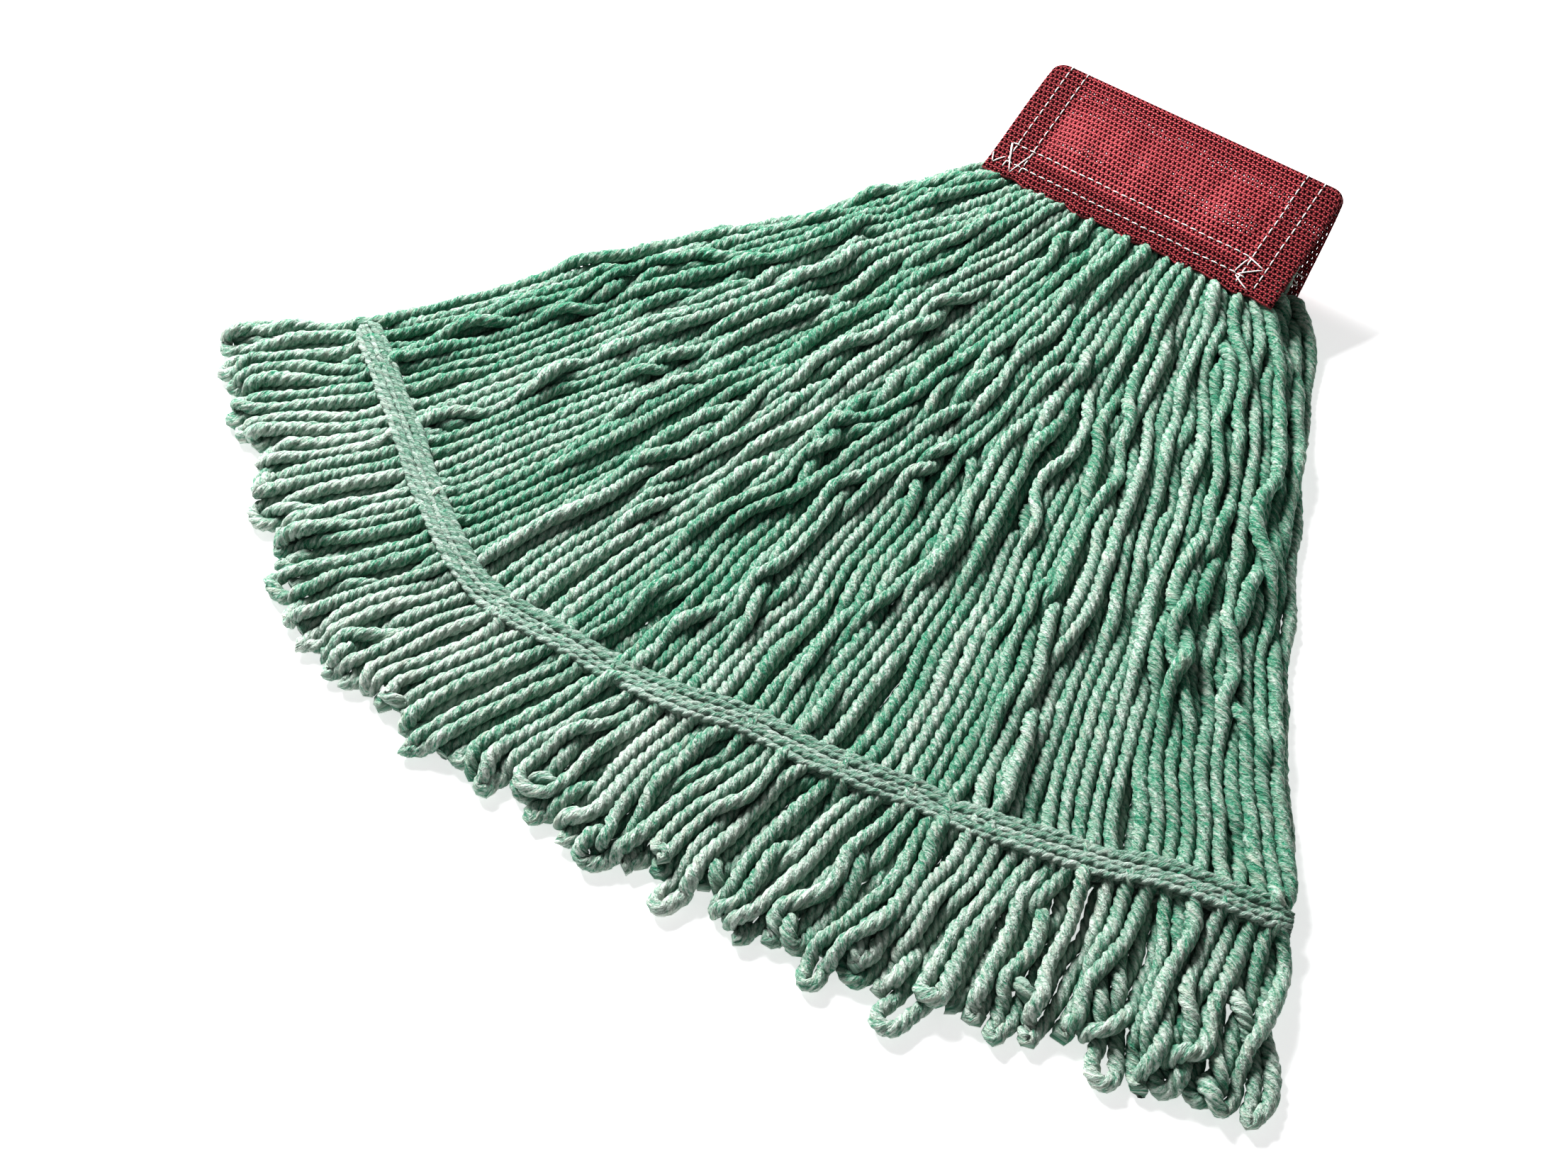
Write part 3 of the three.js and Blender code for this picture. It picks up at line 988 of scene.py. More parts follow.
    def settle(self, lines: np.ndarray, marks: np.ndarray) -> np.ndarray:
        """Lets the loops sink and push each other apart until they rest.

        Args:
            lines: The loops as drawn.
            marks: Bead numbers of the tail crossings.

        Returns:
            The settled loops.
        """
        x = lines.copy()
        rest = np.linalg.norm(np.diff(x, axis=1), axis=2)
        step = rest.mean(1)
        bead = np.arange(self.beads)[None, :]
        from_end = np.minimum(bead, self.beads - 1 - bead) * step[:, None]
        free = (from_end > self.sewn_run + 1 * MM).astype(float)
        for mark in marks.T:
            free *= np.abs(bead - mark[:, None]) > 1.2
        hold = free[..., None]
        from_tip = np.abs(bead - (self.beads - 1) / 2) * step[:, None]
        limber = hold * smooth_step((from_tip - 10 * MM) / (14 * MM))[..., None]
        radii = self.radii * self.packed
        flat_radii = radii.ravel()
        count = x.shape[0] * x.shape[1]
        pairs = (np.zeros(0, int), np.zeros(0, int))
        floor = self.radii * 1.1
        for turn in range(self.rounds):
            sink = self.sink_steps[turn >= self.rounds * 0.75]
            x[..., 2] -= sink * free
            if turn % 6 == 0:
                pairs = self.neighbours(x.reshape(-1, 3), self.reach)
            for _ in range(2):
                d = np.diff(x, axis=1)
                size = np.linalg.norm(d, axis=2)
                pull = d * ((size - rest) / np.maximum(size, 1e-9) * 0.45)[..., None]
                x[:, :-1] += pull * hold[:, :-1]
                x[:, 1:] -= pull * hold[:, 1:]
            mid = (x[:, :-2] + x[:, 2:]) / 2 - x[:, 1:-1]
            x[:, 1:-1] += 0.12 * mid * limber[:, 1:-1]
            ahead = np.zeros_like(x)
            ahead[:, 1:-1] = x[:, 2:] - x[:, :-2]
            ahead[:, 0], ahead[:, -1] = ahead[:, 1], ahead[:, -2]
            ahead /= np.linalg.norm(ahead, axis=2)[..., None]
            points, heads = x.reshape(-1, 3), ahead.reshape(-1, 3)
            i, j = pairs
            d = points[j] - points[i]
            alike = np.abs((heads[i] * heads[j]).sum(1))
            line = heads[i] + heads[j] * np.sign((heads[i] * heads[j]).sum(1))[:, None]
            line /= np.maximum(np.linalg.norm(line, axis=1), 1e-9)[:, None]
            slide = (d * line).sum(1) * smooth_step((alike - 0.6) / 0.3)
            d = d - slide[:, None] * line
            far = np.linalg.norm(d, axis=1)
            want = flat_radii[i] + flat_radii[j]
            touch = (far < want) & (np.abs(slide) < self.slide_limit)
            i, j, d, far, want = i[touch], j[touch], d[touch], far[touch], want[touch]
            push = d * ((want - far) / np.maximum(far, 1e-6) * 0.5)[:, None]
            moved = np.zeros((count, 3))
            times = np.bincount(i, minlength=count) + np.bincount(j, minlength=count)
            for axis in range(3):
                moved[:, axis] -= np.bincount(i, push[:, axis], count)
                moved[:, axis] += np.bincount(j, push[:, axis], count)
            moved *= (1.25 / np.maximum(times * 0.5, 1.0))[:, None]
            x += moved.reshape(x.shape) * hold
            strayed = x[..., :2] - lines[..., :2]
            x[..., :2] -= strayed - np.clip(strayed, -self.stray_limit, self.stray_limit)
            x[..., 2] = np.maximum(x[..., 2], np.where(free > 0, floor, x[..., 2]))
        for _ in range(2):
            x[:, 1:-1] += 0.22 * ((x[:, :-2] + x[:, 2:]) / 2 - x[:, 1:-1]) * limber[:, 1:-1]
        return x

    def covered(self) -> np.ndarray:
        """Finds how closely other strands lie on each side of each bead.

        Returns:
            Values of 0 to 1, shaped (loops, beads, sectors), with the sectors counted round the
            strand from its upper side.
        """
        points = self.lines.reshape(-1, 3)
        ahead = headings(self.lines, 1).reshape(-1, 3)
        up, beside = upright(ahead)
        cover = np.zeros((len(points), self.sectors))
        i, j = self.neighbours(points, self.shade_reach)
        for a, b in ((i, j), (j, i)):
            d = points[b] - points[a]
            along = (d * ahead[a]).sum(1)
            d = d - along[:, None] * ahead[a]
            close = smooth_step((self.shade_reach - np.linalg.norm(d, axis=1)) / (3.6 * MM))
            close = close * (np.abs(along) < 4 * MM)
            angle = np.arctan2((d * beside[a]).sum(1), (d * up[a]).sum(1))
            sector = np.round(angle / TURN * self.sectors).astype(int) % self.sectors
            np.maximum.at(cover, (a, sector), close)
        spread = np.maximum(np.roll(cover, 1, 1), np.roll(cover, -1, 1)) * 0.75
        wider = np.maximum(np.roll(cover, 2, 1), np.roll(cover, -2, 1)) * 0.3
        cover = np.maximum(np.maximum(cover, spread), wider).reshape(*self.lines.shape[:2], -1)
        cover[:, 1:-1] = (cover[:, :-2] + 2 * cover[:, 1:-1] + cover[:, 2:]) / 4
        return cover

    def rows_of(self, half: Half) -> slice:
        """The rows of the pile that belong to one skein."""
        return slice(0, self.loops) if half is Half.FRONT else slice(self.loops, 2 * self.loops)


@dataclass
class YarnSweep:
    """Turns loop lines into four-ply yarn with a left-hand twist."""

    pile: YarnPile
    ring_step: float = 1.7 * MM
    plies: int = 4
    lobe: tuple[float, ...] = (0.80, 0.96, 1.02, 0.96)
    twist_pitch: float = 20 * MM
    shade: float = 0.85
    crease_shade: float = 0.4
    # painted light: how much paler the loop tips are made, standing in for the fuller light on the open fringe
    tip_painted_light: float = 0.6
    slub: float = 0.13
    grain: float = 0.05
    seed: int = 23

    def rings(self, rows: slice) -> Pair:
        """Spaces rings evenly along some loops.

        Args:
            rows: Which loops of the pile.

        Returns:
            The rings' centres (loops, rings, 3) and radii (loops, rings).
        """
        lines, radii = self.pile.lines[rows], self.pile.radii[rows]
        longest = np.linalg.norm(np.diff(lines, axis=1), axis=2).sum(1).max()
        count = int(longest / self.ring_step) + 1
        at = np.linspace(0, self.pile.beads - 1, count)
        return catmull(lines, at), catmull(radii[..., None], at)[..., 0]

    def skin(self, rows: slice) -> tuple[np.ndarray, np.ndarray, np.ndarray, np.ndarray]:
        """Surface points of some loops.

        Args:
            rows: Which loops of the pile.

        Returns:
            Ring centres (loops, rings, 3), surface (loops, rings, sides, 3),
            distance along each loop (loops, rings) and tones with painted light and shade (loops, rings, sides,
            3).
        """
        rng = np.random.default_rng(self.seed + rows.start)
        centres, radii = self.rings(rows)
        loops, count = centres.shape[:2]
        sides = self.plies * len(self.lobe)
        run = np.concatenate(
            [np.zeros((loops, 1)), np.linalg.norm(np.diff(centres, axis=1), axis=2).cumsum(1)], 1
        )
        ahead = headings(centres, 1)
        up = np.zeros_like(centres)
        current = np.cross(ahead[:, 0], np.array([1.0, 0.0, 0.0]))
        for ring in range(count):
            current = current - (current * ahead[:, ring]).sum(1)[:, None] * ahead[:, ring]
            current /= np.linalg.norm(current, axis=1)[:, None]
            up[:, ring] = current
        beside = np.cross(ahead, up)
        pitch = self.twist_pitch * (1 + 0.14 * rng.uniform(-1, 1, (loops, 1)))
        uneven = 1.6 * wander(rng, loops, count, 30)
        turned = -TURN * run / pitch + uneven + rng.uniform(0, 6.28, (loops, 1))
        angle = turned[..., None] + np.arange(sides) / sides * TURN
        lobe = np.tile(self.lobe, self.plies)
        ply = np.arange(sides) // len(self.lobe)
        slubs = wander(rng, loops, count, 26) + 0.5 * wander(rng, loops, count, 90)
        thick = radii * (1 + self.slub * slubs)
        uneven_ply = np.stack([wander(rng, loops, count, 80) for _ in range(self.plies)], 2)
        reach = thick[..., None] * lobe * (1 + 0.10 * uneven_ply[..., ply])
        reach *= 1 + self.grain * np.clip(rng.normal(0, 1, reach.shape), -2, 2)
        out = np.cos(angle)[..., None] * up[:, :, None] + np.sin(angle)[..., None] * beside[:, :, None]
        skin = centres[:, :, None] + reach[..., None] * out
        cover = self.cover_at(rows, ahead, out)
        tones_and_painted_light = np.zeros((loops, count, sides, 3))
        from_tip = np.abs(run - run[:, -1:] / 2)
        tones_and_painted_light[..., 0] = 0.5 + 0.5 * rng.uniform(-1, 1, (loops, 1, 1))
        # painted light: loop tips paler towards the fringe ends
        tones_and_painted_light[..., 0] += self.tip_painted_light * smooth_step((85 * MM - from_tip) / (40 * MM))[..., None]
        ply_tone = np.stack([wander(rng, loops, count, 24) for _ in range(self.plies)], 2)
        tones_and_painted_light[..., 1] = 0.5 + 0.5 * ply_tone[..., ply]
        # painted shade: ply creases, and the sides of each strand that face close neighbours (baked occlusion)
        crease = np.where(lobe < 0.85, self.crease_shade, 0.0)
        tones_and_painted_light[..., 2] = np.clip(crease + self.shade * cover**1.5, 0, 0.92)
        return centres, skin, run, tones_and_painted_light

    def cover_at(self, rows: slice, ahead: np.ndarray, out: np.ndarray) -> np.ndarray:
        """Reads how close other strands lie to each surface point.

        Args:
            rows: Which loops of the pile.
            ahead: Directions along the loops, shaped (loops, rings, 3).
            out: Directions out of the strands, shaped (loops, rings, sides, 3).

        Returns:
            Values of 0 to 1, shaped (loops, rings, sides).
        """
        loops, count = ahead.shape[:2]
        at = np.linspace(0, self.pile.beads - 1, count)
        bead = np.minimum(at.astype(int), self.pile.beads - 2)
        part = (at - bead)[None, :, None]
        cover = self.pile.cover[rows]
        cover = cover[:, bead] * (1 - part) + cover[:, bead + 1] * part
        up, beside = upright(ahead)
        angle = np.arctan2((out * beside[:, :, None]).sum(-1), (out * up[:, :, None]).sum(-1))
        place = (angle / TURN * self.pile.sectors) % self.pile.sectors
        low = np.floor(place).astype(int)
        part = place - low
        loop, ring = np.arange(loops)[:, None, None], np.arange(count)[None, :, None]
        first = cover[loop, ring, low % self.pile.sectors]
        second = cover[loop, ring, (low + 1) % self.pile.sectors]
        return first * (1 - part) + second * part

    def piece(self, name: str, rows: slice, material: bpy.types.Material) -> tuple[bpy.types.Object, np.ndarray]:
        """Builds one mesh of some loops.

        Args:
            name: The piece's name.
            rows: Which loops of the pile.
            material: The yarn's material.

        Returns:
            The piece and its ring centres.
        """
        centres, skin, run, tones_and_painted_light = self.skin(rows)
        loops, count, sides = skin.shape[:3]
        faces, around, ring = tube_faces(count, sides)
        all_faces = (faces[None] + (np.arange(loops) * count * sides)[:, None, None]).reshape(-1, 4)
        shift = (np.arange(loops) + rows.start) * 3.37
        uv = np.zeros((loops, len(faces) * 4, 2))
        wall = len(around)
        uv[:, :wall, 0] = around / sides
        uv[:, :wall, 1] = run[:, ring] * UV_PER_METRE
        uv[:, :wall] += shift[:, None, None]
        obj = mesh_object(name, skin.reshape(-1, 3), all_faces, uv.reshape(-1, 2))
        paint(obj, "tone_and_painted_light", tones_and_painted_light.reshape(-1, 3))
        obj.data.materials.append(material)
        return obj, centres


@dataclass
class Skein:
    """One half's yarn loops, sewn into the headband."""

    half: Half
    layout: Layout
    pile: YarnPile
    material: bpy.types.Material
    diameter: float = 6.3 * MM
    group: int = 10
    bundles: int = 12

    def build(self) -> None:
        """Builds the skein: loop by loop on top, and in joined groups under it."""
        sweep = YarnSweep(self.pile)
        all_rows = self.pile.rows_of(self.half)
        start = all_rows.start
        step = 1 if self.half is Half.FRONT else self.group
        rows = [slice(k, min(k + step, all_rows.stop)) for k in range(start, all_rows.stop, step)]
        for number, row in enumerate(rows, 1):
            single = row.stop - row.start == 1
            name = f"{self.half.value}_{'loop' if single else 'loops'}_{number:02d}"
            piece, centres = sweep.piece(name, row, self.material)
            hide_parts(*self.nodes_under(row, start))
            if row is rows[-1]:
                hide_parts(f"{self.half.value}_sewn_yarn_ends")
            self.hang(piece)
            log.info("%s: %d faces", piece.name, len(piece.data.polygons))

    def nodes_under(self, row: slice, start: int) -> list[str]:
        """The CAD bundles that some loops stand for.

        Args:
            row: The loops' rows in the pile.
            start: The skein's first row.

        Returns:
            The bundles' names.
        """
        low = (row.start - start) * self.bundles // self.pile.loops
        high = (row.stop - 1 - start) * self.bundles // self.pile.loops
        return [f"{self.half.value}_yarn_bundle_{k + 1:02d}" for k in range(low, high + 1)]

    def hang(self, piece: bpy.types.Object) -> None:
        """Bakes the yarn's placement into its mesh.

        Args:
            piece: The yarn.
        """
        place = self.layout
        length = place.length(self.half)
        edge = place.on_panel(self.half, np.array(0.0), np.array(length - 1 * MM), np.array(self.pile.sewn_depth))
        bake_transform(piece)


# ---------------------------------------------------------------------------
# Stitching
# ---------------------------------------------------------------------------


@dataclass
class Stitches:
    """Thread stitches: short rounded runs that dive into the cloth at both ends."""

    radius: float = 0.33 * MM
    dash: float = 3.6 * MM
    gap: float = 1.1 * MM
    rise: float = 0.36 * MM
    dive: float = 0.25 * MM
    rings: int = 7
    sides: int = 6
    verts: list[np.ndarray] = field(default_factory=list)

    def stitch(self, line: np.ndarray, out: np.ndarray) -> None:
        """Adds one stitch.

        Args:
            line: Points on the cloth under the stitch, as many as the rings.
            out: The direction out of the cloth at each point.
        """
        t = np.linspace(0, 1, self.rings)
        arch = np.sin(np.pi * t) ** 0.5
        core = line + out * (arch * (self.rise + self.dive) - self.dive)[:, None]
        ahead = headings(core)
        beside = np.cross(ahead, out)
        beside /= np.linalg.norm(beside, axis=1)[:, None]
        up = np.cross(beside, ahead)
        angle = (np.arange(self.sides) / self.sides * TURN)[None, :, None]
        size = self.radius * (0.62 + 0.38 * arch)
        ring = np.cos(angle) * beside[:, None] + np.sin(angle) * up[:, None]
        self.verts.append(core[:, None] + ring * size[:, None, None])

    def row(self, place: ClothPlace, ends: tuple[Point, Point], slack: float) -> None:
        """Adds a row of stitches between two points of a cloth.

        Args:
            place: Turns flat cloth points into positions and outward directions.
            ends: The row's two end points on the flat cloth.
            slack: How far the row strays to either side.
        """
        a, b = np.array(ends[0]), np.array(ends[1])
        length = float(np.linalg.norm(b - a))
        count = max(1, round(length / (self.dash + self.gap)))
        step = length / count
        aside = np.array([-(b - a)[1], (b - a)[0]]) / length
        for k in range(count):
            t = np.linspace(k * step + self.gap / 2, (k + 1) * step - self.gap / 2, self.rings) / length
            flat = a + (b - a) * t[:, None] + aside * (slack * np.sin(11.3 * k + 3 * t))[:, None]
            self.stitch(*place(flat[:, 0], flat[:, 1]))

    def strokes(self, place: ClothPlace, corners: list[Point]) -> None:
        """Adds one long stitch between each pair of neighbouring corners.

        Args:
            place: Turns flat cloth points into positions and outward directions.
            corners: The corners on the flat cloth.
        """
        for a, b in zip(corners, corners[1:]):
            t = np.linspace(0.02, 0.98, self.rings)[:, None]
            flat = np.array(a) * (1 - t) + np.array(b) * t
            self.stitch(*place(flat[:, 0], flat[:, 1]))

    def piece(self, name: str, material: bpy.types.Material) -> bpy.types.Object:
        """Joins the stitches into one object.

        Args:
            name: The piece's name.
            material: The thread's material.

        Returns:
            The piece.
        """
        faces, _, _ = tube_faces(self.rings, self.sides)
        count = len(self.verts)
        every = (faces[None] + (np.arange(count) * self.rings * self.sides)[:, None, None]).reshape(-1, 4)
        obj = mesh_object(name, np.concatenate([v.reshape(-1, 3) for v in self.verts]), every)
        obj.data.materials.append(material)
        log.info("%s: %d stitches", name, count)
        return obj


# ---------------------------------------------------------------------------
# Headband
# ---------------------------------------------------------------------------


@dataclass
class Headband:
    """The mesh strip folded over the crown, with folded hems, doubled lower edges and facings."""

    layout: Layout
    cloth: bpy.types.Material
    facing: bpy.types.Material
    thread: bpy.types.Material
    wale: float = 2.4 * MM
    course: float = 2.6 * MM
    thickness: float = 0.75 * MM
    fold_radius: float = 0.55 * MM
    hem: float = 21 * MM
    bulge: float = 2.6
    corner: float = 8 * MM
    hole: tuple[float, float] = (0.62 * MM, 0.78 * MM)
    left_rows: tuple[float, float] = (9.5 * MM, 18.5 * MM)
    right_rows: tuple[float, float] = (12 * MM, 21 * MM)
    seam_rows: tuple[float, float] = (8 * MM, 18 * MM)
    hem_shade: float = 0.34
    hole_shade: float = 0.58
    facing_size: tuple[float, float] = (150 * MM, 20.5 * MM)
    facing_depth: float = 9.0 * MM

    @property
    def arc(self) -> float:
        """The outer surface's length over the crown."""
        angles = self.angles()
        return self.layout.crown_radius * abs(angles[1] - angles[0])

    @property
    def total(self) -> float:
        """The strip's length from the front lower edge over the crown to the back one."""
        return sum(self.layout.lengths) + self.arc

    def angles(self) -> tuple[float, float]:
        """The directions out of the front and the back panel, as angles about the band's length."""
        return tuple(math.atan2(n[2], n[1]) for n in (self.layout.normal(half) for half in Half))

    def surface(self, x: np.ndarray, run: np.ndarray, depth: np.ndarray | float) -> Pair:
        """Points on the strip's outer surface or under it.

        Args:
            x: Place along the band from its middle.
            run: Distance from the front lower edge over the crown.
            depth: Distance inwards from the outer surface.

        Returns:
            The points and the outward directions.
        """
        place = self.layout
        front = place.lengths[0]
        low, high = self.angles()
        turn = low + (high - low) * np.clip((run - front) / self.arc, 0, 1)
        out = np.stack([np.zeros_like(turn), np.cos(turn), np.sin(turn)], -1)
        to_edge = np.minimum(run, self.total - run)
        pull = 0.8 * MM * np.sin(TURN * x / 0.027 + 0.8) + 0.5 * MM * np.sin(TURN * x / 0.0145)
        pull = pull * np.exp(-np.maximum(to_edge, 0) / (5.5 * MM)) * smooth_step((0.078 - np.abs(x)) / 0.012)
        down_front = np.maximum(front - run, 0) + np.where(run < front, pull, 0)
        down_back = np.maximum(run - front - self.arc, 0) + np.where(run > front, pull, 0)
        size = place.crown_radius - depth + self.ripple(x, run, to_edge)
        points = (
            place.crown
            + size[..., None] * out
            + down_front[..., None] * place.down(Half.FRONT)
            + down_back[..., None] * place.down(Half.BACK)
        )
        from_crown = np.abs(run - front - self.arc / 2)
        corner = np.clip((np.abs(x) - place.band_width / 2 + self.corner) / self.corner, 0, 1.1)
        sag = (1 - np.sqrt(1 - (corner / 1.12) ** 2)) * self.corner * np.exp(-from_crown / (13 * MM))
        points += sag[..., None] * (place.down(Half.FRONT) + place.down(Half.BACK)) / 2
        points[..., 0] += x - np.sign(x) * 0.3 * sag
        return points, out

    def ripple(self, x: np.ndarray, run: np.ndarray, to_edge: np.ndarray) -> np.ndarray:
        """How far the cloth stands proud: soft folds in the field, swells over the yarn at the edge.

        Args:
            x: Place along the band from its middle.
            run: Distance from the front lower edge over the crown.
            to_edge: Distance from the nearer lower edge.

        Returns:
            The heights.
        """
        half = self.layout.band_width / 2
        from_crown = np.abs(run - self.layout.lengths[0] - self.arc / 2)
        inner = smooth_step((half - self.hem - np.abs(x)) / (12 * MM))
        inner = inner * smooth_step((to_edge - 16 * MM) / (16 * MM))
        inner = inner * smooth_step((from_crown - 3 * MM) / (40 * MM))
        folds = 0.16 * np.sin(TURN * x / 0.0098 + 0.9 * np.sin(TURN * run / 0.07))
        folds = folds + 0.45 * np.sin(TURN * x / 0.041 + 1.1) + 0.12 * np.sin(TURN * run / 0.021 + 60 * x)
        swell = np.exp(-np.maximum(to_edge, 0) / (7 * MM))
        rows = 0.45 * np.sin(TURN * x / 0.0145 + 0.4) + 0.4 * np.sin(TURN * x / 0.0262 + 2.2) + 0.5
        seam = sum(np.exp(-(((to_edge - row) / (1.3 * MM)) ** 2)) for row in self.seam_rows)
        pucker = -0.22 * seam * (1 + 0.5 * np.sin(TURN * x / 0.0043))
        return (self.bulge * inner + folds * inner + rows * swell + pucker) * MM

    def hemmed(self, flat: np.ndarray, run: np.ndarray) -> np.ndarray:
        """Places the strip's middle layer, with both ends folded under.

        Args:
            flat: Distance along the flat strip from its middle, past the fold where it is a hem.
            run: Distance from the front lower edge over the crown.

        Returns:
            The points.
        """
        half, radius = self.layout.band_width / 2, self.fold_radius
        edge = half - radius - self.thickness / 2
        over = np.maximum(np.abs(flat) - edge, 0)
        turn = np.minimum(over / radius, np.pi)
        x = np.minimum(np.abs(flat), edge) + radius * np.sin(turn) - np.maximum(over - np.pi * radius, 0)
        depth = self.thickness / 2 + radius * (1 - np.cos(turn))
        return self.surface(np.sign(flat) * x, run, depth)[0]

    def holed(
        self,
        name: str,
        place: Callable[[np.ndarray, np.ndarray], np.ndarray],
        columns: int,
        rows: int,
        shift: float = 0.0,
    ) -> bpy.types.Object:
        """Knits a mesh of staggered holes.

        Args:
            name: The piece's name.
            place: Turns column and row numbers into points.
            columns: How many loops across.
            rows: How many loops along.
            shift: Added to the loop count in the UV map, so layers differ.

        Returns:
            The piece, with its thickness.
        """
        across, down = np.meshgrid(np.arange(2 * columns + 1) / 2, np.arange(rows + 1), indexing="xy")
        flat = [np.stack([across.ravel(), down.ravel().astype(float)], 1)]
        line = 2 * columns + 1
        faces, base = [], flat[0].shape[0]
        wide, tall = self.hole[0] / self.wale, self.hole[1] / self.course
        rim = np.array([(-0.8, -0.62), (0, -1), (0.8, -0.62), (0.8, 0.62), (0, 1), (-0.8, 0.62)]) * [wide, tall]
        for row in range(rows):
            offset = row % 2
            cells = np.arange(columns - offset)
            start = row * line + 2 * cells + offset
            outer = np.stack([start, start + 1, start + 2, start + 2 + line, start + 1 + line, start + line], 1)
            middle = np.stack([cells + 0.5 + offset / 2, np.full(len(cells), row + 0.5)], 1)
            flat.append((middle[:, None] + rim[None]).reshape(-1, 2))
            inner = base + np.arange(len(cells) * 6).reshape(-1, 6)
            base += len(cells) * 6
            faces.append(
                np.stack([outer, np.roll(outer, -1, 1), np.roll(inner, -1, 1), inner], -1).reshape(-1, 4)
            )
            if offset:
                for h in (0, line - 2):
                    a = row * line + h
                    faces.append(np.array([[a, a + 1, a + 1 + line, a + line]]))
        flat, faces = np.concatenate(flat), np.concatenate(faces)
        uv = (flat + shift)[faces.ravel()]
        rng = np.random.default_rng(columns)
        holes = len(flat[(rows + 1) * line :]) // 6
        rims = flat[(rows + 1) * line :].reshape(holes, 6, 2)
        middle = rims.mean(1, keepdims=True)
        under = (middle[..., 1:] > rows * 0.55) & (np.abs(middle[..., :1] - columns / 2) < columns * 0.3)
        rims = middle + (rims - middle) * np.where(under, 0.5, 1.0)
        rims = rims + rng.uniform(-1, 1, (holes, 1, 2)) * np.where(under, 0.18, 0.04)
        flat[(rows + 1) * line :] = rims.reshape(-1, 2)
        obj = mesh_object(name, place(flat[:, 0], flat[:, 1]), faces, uv)
        to_end = np.minimum(flat[:, 1], rows - flat[:, 1]) / rows
        inner = smooth_step((0.60 - np.abs(flat[:, 0] / columns * 2 - 1)) / 0.04)
        inner = inner * smooth_step((to_end - 0.105) / 0.02)
        # painted light: the first channel is a sheen over the middle of the field, the second painted shade over
        # the hems and hole rims
        sheen_and_shade = np.stack([inner * smooth_step((0.5 - to_end) / 0.22), self.hem_shade * (1 - inner)], 1)
        sheen_and_shade[(rows + 1) * line :, 1] += self.hole_shade
        paint(obj, "sheen_and_shade", sheen_and_shade)
        self.thicken(obj)
        obj.data.materials.append(self.cloth)
        return obj

    def thicken(self, obj: bpy.types.Object) -> None:
        """Gives a sheet its thickness, half to each side.

        Args:
            obj: The sheet, as a single layer.
        """
        bpy.ops.object.select_all(action="DESELECT")
        obj.select_set(True)
        bpy.context.view_layer.objects.active = obj
        wall = obj.modifiers.new("wall", "SOLIDIFY")
        wall.thickness = self.thickness
        wall.offset = 0.0
        bpy.ops.object.modifier_apply(modifier=wall.name)

    def build(self) -> None:
        """Builds the strip, its doubled edges, the facings and the stitching."""
        threads = self.sew()
        edges = [self.doubled_edge(half) for half in Half]
        strip = self.strip()
        self.bend_over_crown(strip)
        nodes = [f"headband_{half.value}_panel" for half in Half]
        nodes += [f"{half.value}_{side}_hem" for half in Half for side in ("left", "right")]
        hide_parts(*nodes)
        round(self.total, 4)
        for half in Half:
            self.face(half)

    def strip(self) -> bpy.types.Object:
        """Knits the single strip from lower edge to lower edge.

        Returns:
            The piece.
        """
        half_flat = self.layout.band_width / 2 + self.hem + (math.pi - 2) * self.fold_radius
        columns = round(2 * half_flat / self.wale)
        rows = round(self.total / self.course)
        strip = self.holed(
            "headband_strip",
            lambda c, r: self.hemmed((c / columns * 2 - 1) * half_flat, r / rows * self.total),
            columns,
            rows,
        )
        log.info("%s: %d faces", strip.name, len(strip.data.polygons))
        return strip

    def doubled_edge(self, half: Half) -> bpy.types.Object:
        """Knits the second layer of cloth behind a lower edge.

        Args:
            half: Which half of the band.

        Returns:
            The piece.
        """
        reach = self.layout.band_width / 2 - self.hem - 1.2 * MM
        tall = 21 * MM
        columns, rows = round(2 * reach / self.wale), round(tall / self.course)
        depth = self.thickness / 2 + 2 * self.fold_radius

        def place(c: np.ndarray, r: np.ndarray) -> np.ndarray:
            """Places the doubled layer's loops.

            Args:
                c: Column numbers.
                r: Row numbers.

            Returns:
                The points.
            """
            up = r / rows * tall
            run = up if half is Half.FRONT else self.total - up
            x = (c / columns * 2 - 1) * reach * (1 if half is Half.FRONT else -1)
            return self.surface(x, run, depth)[0]

        edge = self.holed(f"{half.value}_doubled_edge", place, columns, rows, shift=0.5)
        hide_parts(f"{half.value}_seam_edge")
        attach(edge, f"{half.value}_band")
        return edge

    def face(self, half: Half) -> None:
        """Makes the facing behind the sewn yarn ends.

        Args:
            half: Which half of the band.
        """
        place = self.layout
        wide, tall = self.facing_size
        columns, rows = 60, 12
        c, r = np.meshgrid(np.linspace(-1, 1, columns + 1), np.linspace(0, 1, rows + 1), indexing="xy")
        wave = 0.35 * MM * np.sin(40 * c + 3 * r)
        x = c.ravel() * wide / 2 * (1 if half is Half.FRONT else -1)
        along = place.length(half) - r.ravel() * tall
        points = place.on_panel(half, x, along, self.facing_depth + wave.ravel())
        start = (np.arange(rows)[:, None] * (columns + 1) + np.arange(columns)[None]).ravel()
        faces = np.stack([start, start + 1, start + columns + 2, start + columns + 1], 1)
        uv = np.stack([x / self.wale * 2, along / self.course * 2], 1)[faces.ravel()]
        sheet = mesh_object(f"{half.value}_facing", points, faces, uv)
        self.thicken(sheet)
        sheet.data.materials.append(self.facing)
        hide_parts(f"{half.value}_inner_facing")
        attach(sheet, f"{half.value}_band")
        log.info("%s: %d faces", sheet.name, len(sheet.data.polygons))

